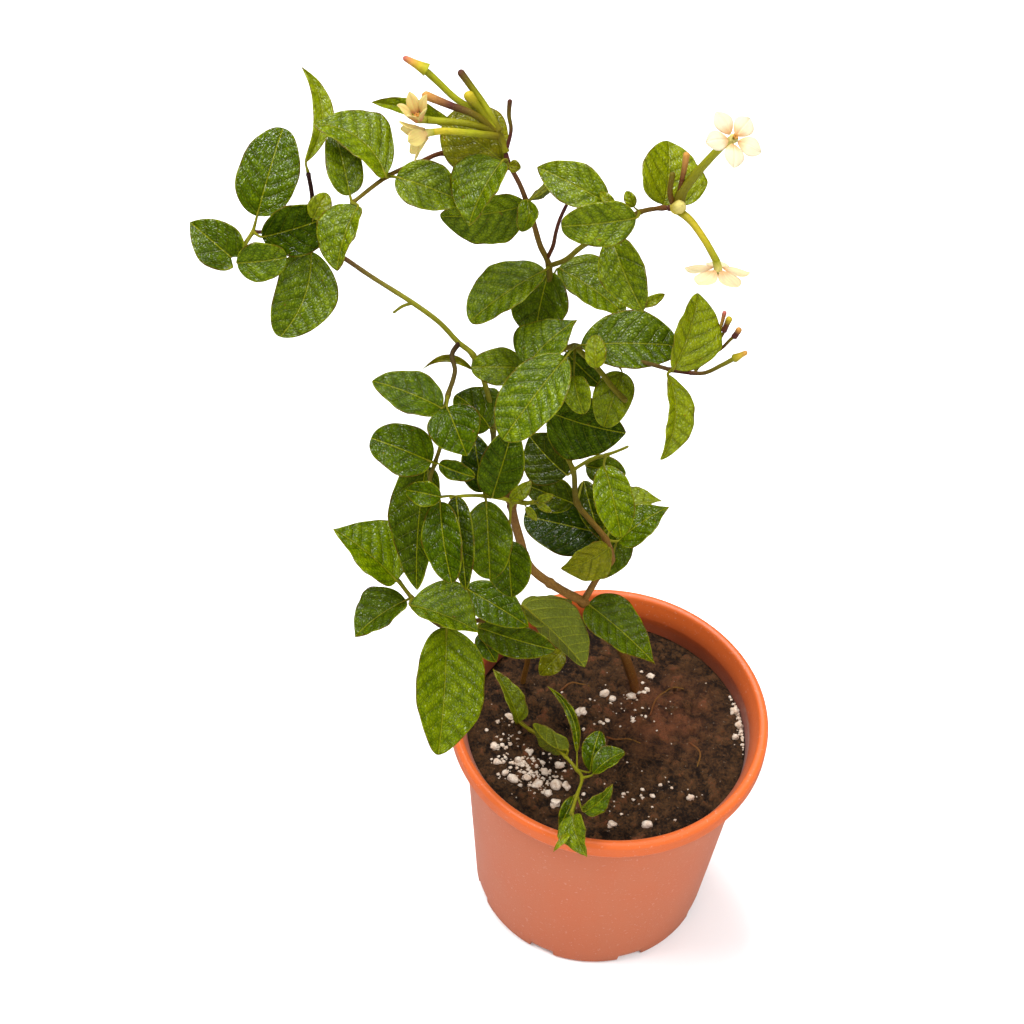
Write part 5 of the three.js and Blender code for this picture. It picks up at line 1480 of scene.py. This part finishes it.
@dataclass(frozen=True)
class Pot:
    """The nursery pot: one moulding, turned about its axis, with drain notches in its foot."""

    height: float = 182.0
    rim_radius: float = 102.5
    inner_radius: float = 95.8
    collar: float = 13.0
    body_top: float = 92.2
    base: float = 78.8
    wall: float = 2.2
    notches: int = 8
    notch_width: float = 17.0
    notch_height: float = 5.0
    notch_inner: float = 70.0
    notch_start_degrees: float = 22.5

    SIDES = 720
    NOTCH_REACH = 12.0

    def profile(self) -> tuple[Array, Array]:
        """The wall's outline, and whether each of its points is inside the pot.

        It runs as (radius, height) from the middle of the underside to the middle of the floor, with each
        corner rounded by a quadratic curve.
        """
        foot = self.height - self.collar
        corners = np.array(
            [
                [0, 0],
                [self.notch_inner - 0.3, 0],
                [self.notch_inner + 0.3, 0],
                [self.base - 2, 0],
                [self.base, 2],
                [self.body_top, foot - 5],
                [self.body_top + 3, foot - 3.6],
                [self.body_top + 3, foot],
                [self.rim_radius - 1.8, foot],
                [self.rim_radius, foot + 2],
                [self.rim_radius, self.height - 2.4],
                [self.rim_radius - 1.8, self.height - 0.3],
                [self.rim_radius - 3.4, self.height],
                [self.inner_radius + 1, self.height - 0.6],
                [self.inner_radius, self.height - 2.2],
                [self.body_top - self.wall + 1.4, foot],
                [self.base - self.wall, self.wall + 0.4],
                [0, self.wall + 0.4],
            ]
        )
        stretches = [corners[:1]]
        for before, corner, after in zip(corners[:-2], corners[1:-1], corners[2:]):
            reach = [min(1.1, 0.4 * np.linalg.norm(end - corner)) for end in (before, after)]
            start = corner + unit(before - corner) * reach[0]
            end = corner + unit(after - corner) * reach[1]
            t = np.linspace(0, 1, 5)[:, None]
            last = stretches[-1][-1]
            steps = int(np.linalg.norm(start - last) // 7)
            fill = np.linspace(last, start, steps + 2)[1:-1]
            curve = (1 - t) ** 2 * start + 2 * t * (1 - t) * corner + t**2 * end
            stretches += [fill, curve]
        outline = np.vstack([*stretches, corners[-1:]])
        top = int(np.argmax(outline[:, 1]))
        return outline, np.arange(len(outline)) > top

    def surface(self) -> Surface:
        """The moulding: each outline point carried round the axis, and lifted out of the notches at the foot.

        In a notch, a height z under 12 mm outside radius 70 becomes h + z (12 - h)/12, with h its height.
        """
        outline, inside = self.profile()
        outline = outline[1:-1]
        inside = inside[1:-1]
        angles = np.linspace(0, 2 * math.pi, self.SIDES, endpoint=False)
        step = 2 * math.pi / self.notches
        offset = (angles - math.radians(self.notch_start_degrees) + step / 2) % step - step / 2
        notched = np.clip((self.notch_width / 2 - np.abs(offset) * self.base) / 0.6 + 0.5, 0, 1)
        radius, height = outline[:, :1], outline[:, 1:]
        lift = self.notch_height * notched[None] * (radius > self.notch_inner)
        low = height < self.NOTCH_REACH
        z = np.where(low, lift + height * (self.NOTCH_REACH - lift) / self.NOTCH_REACH, height + 0 * lift)
        sag = 0.25 * np.sin(2 * angles + 0.6)[None] * ease(height, 20, 150) * (radius < 100)
        r = radius + sag
        rings = np.stack([r * np.cos(angles), r * np.sin(angles), z], axis=-1)
        made = loft(rings, np.array([0, 0, 0.0]), np.array([0, 0, self.wall + 0.4]))
        wall = np.repeat(inside.astype(float), self.SIDES)
        wall = np.concatenate([wall, [0.0, 1.0]])
        return made.painted(wall=np.stack([wall] * 3, axis=-1))


@dataclass(frozen=True)
class Soil:
    """The potting mix: a lumpy top over a plug that fills the pot, with clods, roots and perlite on it."""

    level: float = 158.0
    gap: float = 0.4
    bottom: float = 9.0
    lumps: float = 1.6
    rings: int = 120
    sides: int = 380
    seed: int = 41
    clods: int = 900
    grains: tuple[tuple[float, float, float], ...] = (
        (603, 695, 3.2), (612, 699, 2.2), (632, 697, 2.8), (581, 713, 3.2), (510, 715, 3.2),
        (544, 772, 2.6), (559, 767, 2.8), (557, 787, 3.4), (566, 788, 2.8), (555, 805, 3.4),
        (505, 773, 2.8), (513, 779, 2.8), (527, 778, 3), (495, 748, 2.8), (650, 677, 2.4), (647, 690, 2.4),
        (611, 826, 2.6), (647, 826, 3.2), (740, 712, 3), (746, 728, 2.8), (736, 738, 2.6), (519, 762, 3.2),
        (537, 786, 3), (548, 794, 2.8), (497, 762, 3), (529, 752, 2.6), (690, 800, 2.4),
    )
    drifts: tuple[tuple[float, float, float, float, int], ...] = (
        (535, 775, 34, 24, 150),
        (505, 745, 18, 26, 50),
        (745, 725, 9, 26, 90),
        (640, 800, 60, 30, 36),
        (620, 710, 70, 36, 46),
    )
    red_spot: Pixel = (665, 715)
    red_reach: float = 26.0
    roots: tuple[tuple[tuple[float, float], ...], ...] = (
        ((606, 740), (622, 741), (641, 744)),
        ((650, 716), (656, 700), (668, 690), (684, 690)),
        ((560, 690), (572, 684), (590, 686)),
        ((690, 742), (700, 752), (697, 768)),
    )

    BROAD_SIZE, BROAD_RELIEF = 9.0, 0.9
    WARP_SIZE, WARP = 3.2, 1.1
    FINE_SIZE, FINE_RELIEF = 2.2, 0.45
    LEAST_CLOD, CLOD_RANGE = 1.0, 3.6
    CLOD_RISE = 0.75
    LARGE_GRAIN = 1.6

    def radius(self, pot: Pot, height: float) -> float:
        """The soil's radius at a height, a gap inside the pot's wall."""
        foot = pot.height - pot.collar
        share = (height - pot.wall) / (foot - pot.wall)
        return (pot.base - pot.wall) * (1 - share) + (pot.body_top - pot.wall + 1.4) * share - self.gap

    def ground(self, x: Array, y: Array) -> Array:
        """The broad lumps of the top: 1.6 (0.9 sin(0.071x + 1.3) cos(0.063y - 0.4) + 0.6 sin() cos())."""
        broad = np.sin(0.071 * x + 1.3) * np.cos(0.063 * y - 0.4)
        fine = np.sin(0.19 * x - 0.16 * y) * np.cos(0.17 * x + 0.21 * y + 2)
        return self.lumps * (0.9 * broad + 0.6 * fine)

    def top(self, x: Array, y: Array, edge: float) -> tuple[Array, Array]:
        """The height of the top and how high its clods stand, from 0 to 1.

        Noise first shifts the points, so that the clods are ragged. A clod of radius r lifts the points
        within r of it to its middle, r/4 under the ground, plus 0.75 sqrt(r^2 - d^2) with dents. Finer noise
        roughens it all, and the last 3 mm sink to the plain level at the edge.
        """
        draw = np.random.default_rng(self.seed)
        flat = np.stack([x, y, 0 * x], axis=-1)
        base = self.ground(x, y) + self.BROAD_RELIEF * rough_noise(flat, self.BROAD_SIZE, self.seed, 4)
        height = base.copy()
        warp = [rough_noise(flat + shift, self.WARP_SIZE, self.seed + 5, 3) for shift in (0.0, 57.0)]
        x, y = np.stack([x, y]) + self.WARP * np.stack(warp)
        places = draw.uniform(-edge, edge, (self.clods, 2))
        sizes = self.LEAST_CLOD + self.CLOD_RANGE * draw.random(self.clods) ** 2.2
        for (u, v), size in zip(places, sizes):
            square = size**2 - (x - u) ** 2 - (y - v) ** 2
            inside = square > 0
            middle = self.ground(np.array(u), np.array(v)) - 0.25 * size
            dents = 1 + 0.2 * np.sin(3.1 * x[inside] + 2.3 * y[inside] + u)
            lumpy = middle + self.CLOD_RISE * np.sqrt(square[inside]) * dents
            height[inside] = np.maximum(height[inside], lumpy)
        height = height + self.FINE_RELIEF * rough_noise(flat, self.FINE_SIZE, self.seed + 8, 2)
        fade = ease(edge - np.hypot(flat[:, 0], flat[:, 1]), 0, 3)
        height = height * fade
        return height + self.level, np.clip((height - base) / 2, 0, 1) * fade

    def surface(self, pot: Pot) -> Surface:
        """The plug: rings from the middle of the top out to its edge, then down the wall and in under it."""
        edge = self.radius(pot, self.level)
        share = np.linspace(0, 1, self.rings + 1)[1:]
        angles = np.linspace(0, 2 * math.pi, self.sides, endpoint=False)
        r, a = np.meshgrid(edge * share**0.9, angles, indexing="ij")
        x, y = r * np.cos(a), r * np.sin(a)
        z, lifted = self.top(x.ravel(), y.ravel(), edge)
        rings = [np.stack([x, y, z.reshape(x.shape)], axis=-1)]
        for height in (self.level - 3, 80.0, self.bottom):
            radius = self.radius(pot, height)
            wall = np.full(self.sides, height)
            ring = np.stack([radius * np.cos(angles), radius * np.sin(angles), wall], axis=-1)
            rings.append(ring[None])
        grid = np.concatenate(rings)
        middle, _ = self.top(np.zeros(1), np.zeros(1), edge)
        made = loft(grid, np.array([0, 0, middle[0]]), np.array([0, 0, self.bottom]))
        lift = np.zeros(len(made.points))
        lift[: len(lifted)] = lifted
        warm = SIGHT.at_height(self.red_spot, self.level)
        away = np.linalg.norm(made.points[:, :2] - warm[:2], axis=1)
        red = np.exp(-((away / self.red_reach) ** 2))
        return made.painted(lump=np.stack([lift, red, lift], axis=-1))

    def perlite(self, pot: Pot) -> Surface:
        """The grains: the large ones where they lie, and small ones strewn in drifts about a pixel."""
        draw = np.random.default_rng(self.seed + 1)
        edge = self.radius(pot, self.level)
        spots = [(SIGHT.at_height((c, r), self.level + 0.5)[:2], size) for c, r, size in self.grains]
        for column, row, wide, tall, count in self.drifts:
            pixels = np.array([column, row]) + draw.normal(0, 0.5, (count, 2)) * (wide, tall)
            sizes = 0.45 + 1.1 * draw.random(count) ** 2.5
            spots += [(SIGHT.at_height(tuple(p), self.level)[:2], s) for p, s in zip(pixels, sizes)]
        made = []
        for number, (spot, size) in enumerate(spots):
            spot = spot * min(1, (edge - size - 0.6) / np.linalg.norm(spot))
            height, _ = self.top(spot[:1], spot[1:], edge)
            large = size > self.LARGE_GRAIN
            sizes = size * np.array([1.0, draw.uniform(0.75, 1.0), 0.8])
            centre = np.array([*spot, height[0] + 0.25 * size])
            made.append(ball(centre, sizes, number, 0.3, 10 if large else 5, 15 if large else 7))
        return combined(made)

    def fibres(self, pot: Pot) -> Surface:
        """Fine roots that lie on the top, half sunk in it."""
        edge = self.radius(pot, self.level)
        made = []
        for number, line in enumerate(self.roots):
            spots = np.array([SIGHT.at_height(p, self.level)[:2] for p in line])
            path = smooth_way(np.column_stack([spots, np.zeros(len(spots))]), 0.6)
            path[:, 2], _ = self.top(path[:, 0], path[:, 1], edge)
            path[:, 2] = np.convolve(np.pad(path[:, 2], 4, "edge"), np.full(9, 1 / 9), "valid") + 0.15
            radii = np.linspace(0.75, 0.4, len(path))
            made.append(paint_bark(tube(path, radii, 8), path, 8, (Bark.RED_BROWN, Bark.BROWN), number))
        return combined(made)

    def build(self, pot: Pot, finishes: "Finishes") -> None:
        """Makes the plug, the perlite and the fine roots."""
        place(self.surface(pot), "potting_mix", [finishes.soil], "potting_mix", "soil")
        place(self.perlite(pot), "perlite_grains", [finishes.perlite], "potting_mix")
        place(self.fibres(pot), "fine_roots", [finishes.bark], "bark")


@dataclass(frozen=True)
class Finishes:
    """The materials of the whole piece."""

    leaf: bpy.types.Material
    leaf_under: bpy.types.Material
    bark: bpy.types.Material
    tube: bpy.types.Material
    petal: bpy.types.Material
    plastic: bpy.types.Material
    soil: bpy.types.Material
    perlite: bpy.types.Material

    @classmethod
    def mixed(cls) -> "Finishes":
        """Every material, made once."""
        return cls(
            LeafFinish().material(),
            LeafFinish(under=True).material(),
            BarkFinish().material(),
            BarkFinish("flower_tube", 0.3, 0.5).material(),
            PetalFinish().material(),
            PotFinish().material(),
            SoilFinish().material(),
            GrainFinish().material(),
        )


# The studio


@dataclass(frozen=True)
class SoftLight:
    """A wide studio light, so far off that it falls evenly. Only a mirrored one shows in gloss."""

    name: str
    towards: Triple
    spread_degrees: float
    strength: float
    mirrored: bool

    def build(self) -> None:
        """Hangs the light in its direction."""
        lamp = bpy.data.lights.new(self.name, "SUN")
        lamp.angle = math.radians(self.spread_degrees)
        lamp.energy = self.strength
        holder = bpy.data.objects.new(self.name, lamp)
        holder.visible_glossy = self.mirrored
        bpy.context.scene.collection.objects.link(holder)
        back = unit(np.array(self.towards))
        side = unit(np.cross([0, 1.0, 0], back))
        turn = np.column_stack([side, np.cross(back, side), back])
        holder.matrix_world = Matrix.Translation(back * 2) @ Matrix(turn.tolist()).to_4x4()


@dataclass(frozen=True)
class Studio:
    """The pale floor, the soft light and the camera at the photograph's view."""

    floor_radius: float = 4.0
    floor_gap: float = 0.3 * MM
    sky: float = 0.25
    sensor: float = 36.0
    lights: tuple[SoftLight, ...] = (
        SoftLight("key_light", (-0.5, -0.15, 1.0), 14.0, 1.3, True),
        SoftLight("back_light", (-0.2, 0.36, 1.0), 20.0, 2.4, True),
        SoftLight("side_light", (0.55, -0.35, 0.9), 10.0, 0.6, True),
        SoftLight("fill_light", (0.5, -0.9, 1.0), 60.0, 1.3, False),
        SoftLight("top_light", (-0.2, 0.2, 1.0), 100.0, 1.6, False),
    )

    def floor(self) -> None:
        """A round floor under the pot."""
        angles = np.linspace(0, 2 * math.pi, 96, endpoint=False)
        disc = np.stack([np.cos(angles), np.sin(angles), 0 * angles], axis=-1) * self.floor_radius
        mesh = bpy.data.meshes.new("floor")
        mesh.from_pydata((disc - [0, 0, self.floor_gap]).tolist(), [], [list(range(len(disc)))])
        mesh.materials.append(FloorFinish().material())
        floor = bpy.data.objects.new("floor", mesh)
        bpy.context.scene.collection.objects.link(floor)
        floor.visible_glossy = False

    def camera(self) -> None:
        """The camera at the sight's eye, turned to its axes, with the same angle of view."""
        view = bpy.data.cameras.new("camera")
        view.sensor_width = self.sensor
        view.lens = SIGHT.focal * self.sensor / SIGHT.frame_side
        view.clip_start = 0.05
        holder = bpy.data.objects.new("camera", view)
        bpy.context.scene.collection.objects.link(holder)
        right, up, ahead = SIGHT.axes()
        turn = np.column_stack([right, up, -ahead])
        eye = [value * MM for value in SIGHT.eye]
        holder.matrix_world = Matrix.Translation(eye) @ Matrix(turn.tolist()).to_4x4()
        bpy.context.scene.camera = holder

    def build(self) -> None:
        """Sets up the floor, the camera, the sky and the lights."""
        self.floor()
        self.camera()
        world = bpy.data.worlds.new("studio")
        world.use_nodes = True
        sky = world.node_tree.nodes["Background"].inputs
        sky["Color"].default_value = (1.0, 1.0, 1.0, 1.0)
        sky["Strength"].default_value = self.sky
        world.cycles_visibility.glossy = False
        bpy.context.scene.world = world
        for light in self.lights:
            light.build()
        bpy.context.scene.view_settings.view_transform = "Standard"


def main() -> None:
    """Builds the pot, the soil, the plant and the studio, in that order."""
    logging.basicConfig(level=logging.INFO, format="%(name)s: %(message)s")
    finishes = Finishes.mixed()
    pot = Pot()
    place(pot.surface(), "nursery_pot", [finishes.plastic], "pot_plastic", "pot")
    Soil().build(pot, finishes)
    place(WOODY_STEM.surface(SIGHT.way(FORKS)), "main_stem", [finishes.bark], "bark", "woody_stem")
    for shoot in SHOOTS:
        shoot.build(finishes)
    for cluster in CLUSTERS:
        cluster.build(finishes)
    Studio().build()


if __name__ == "__main__":
    main()
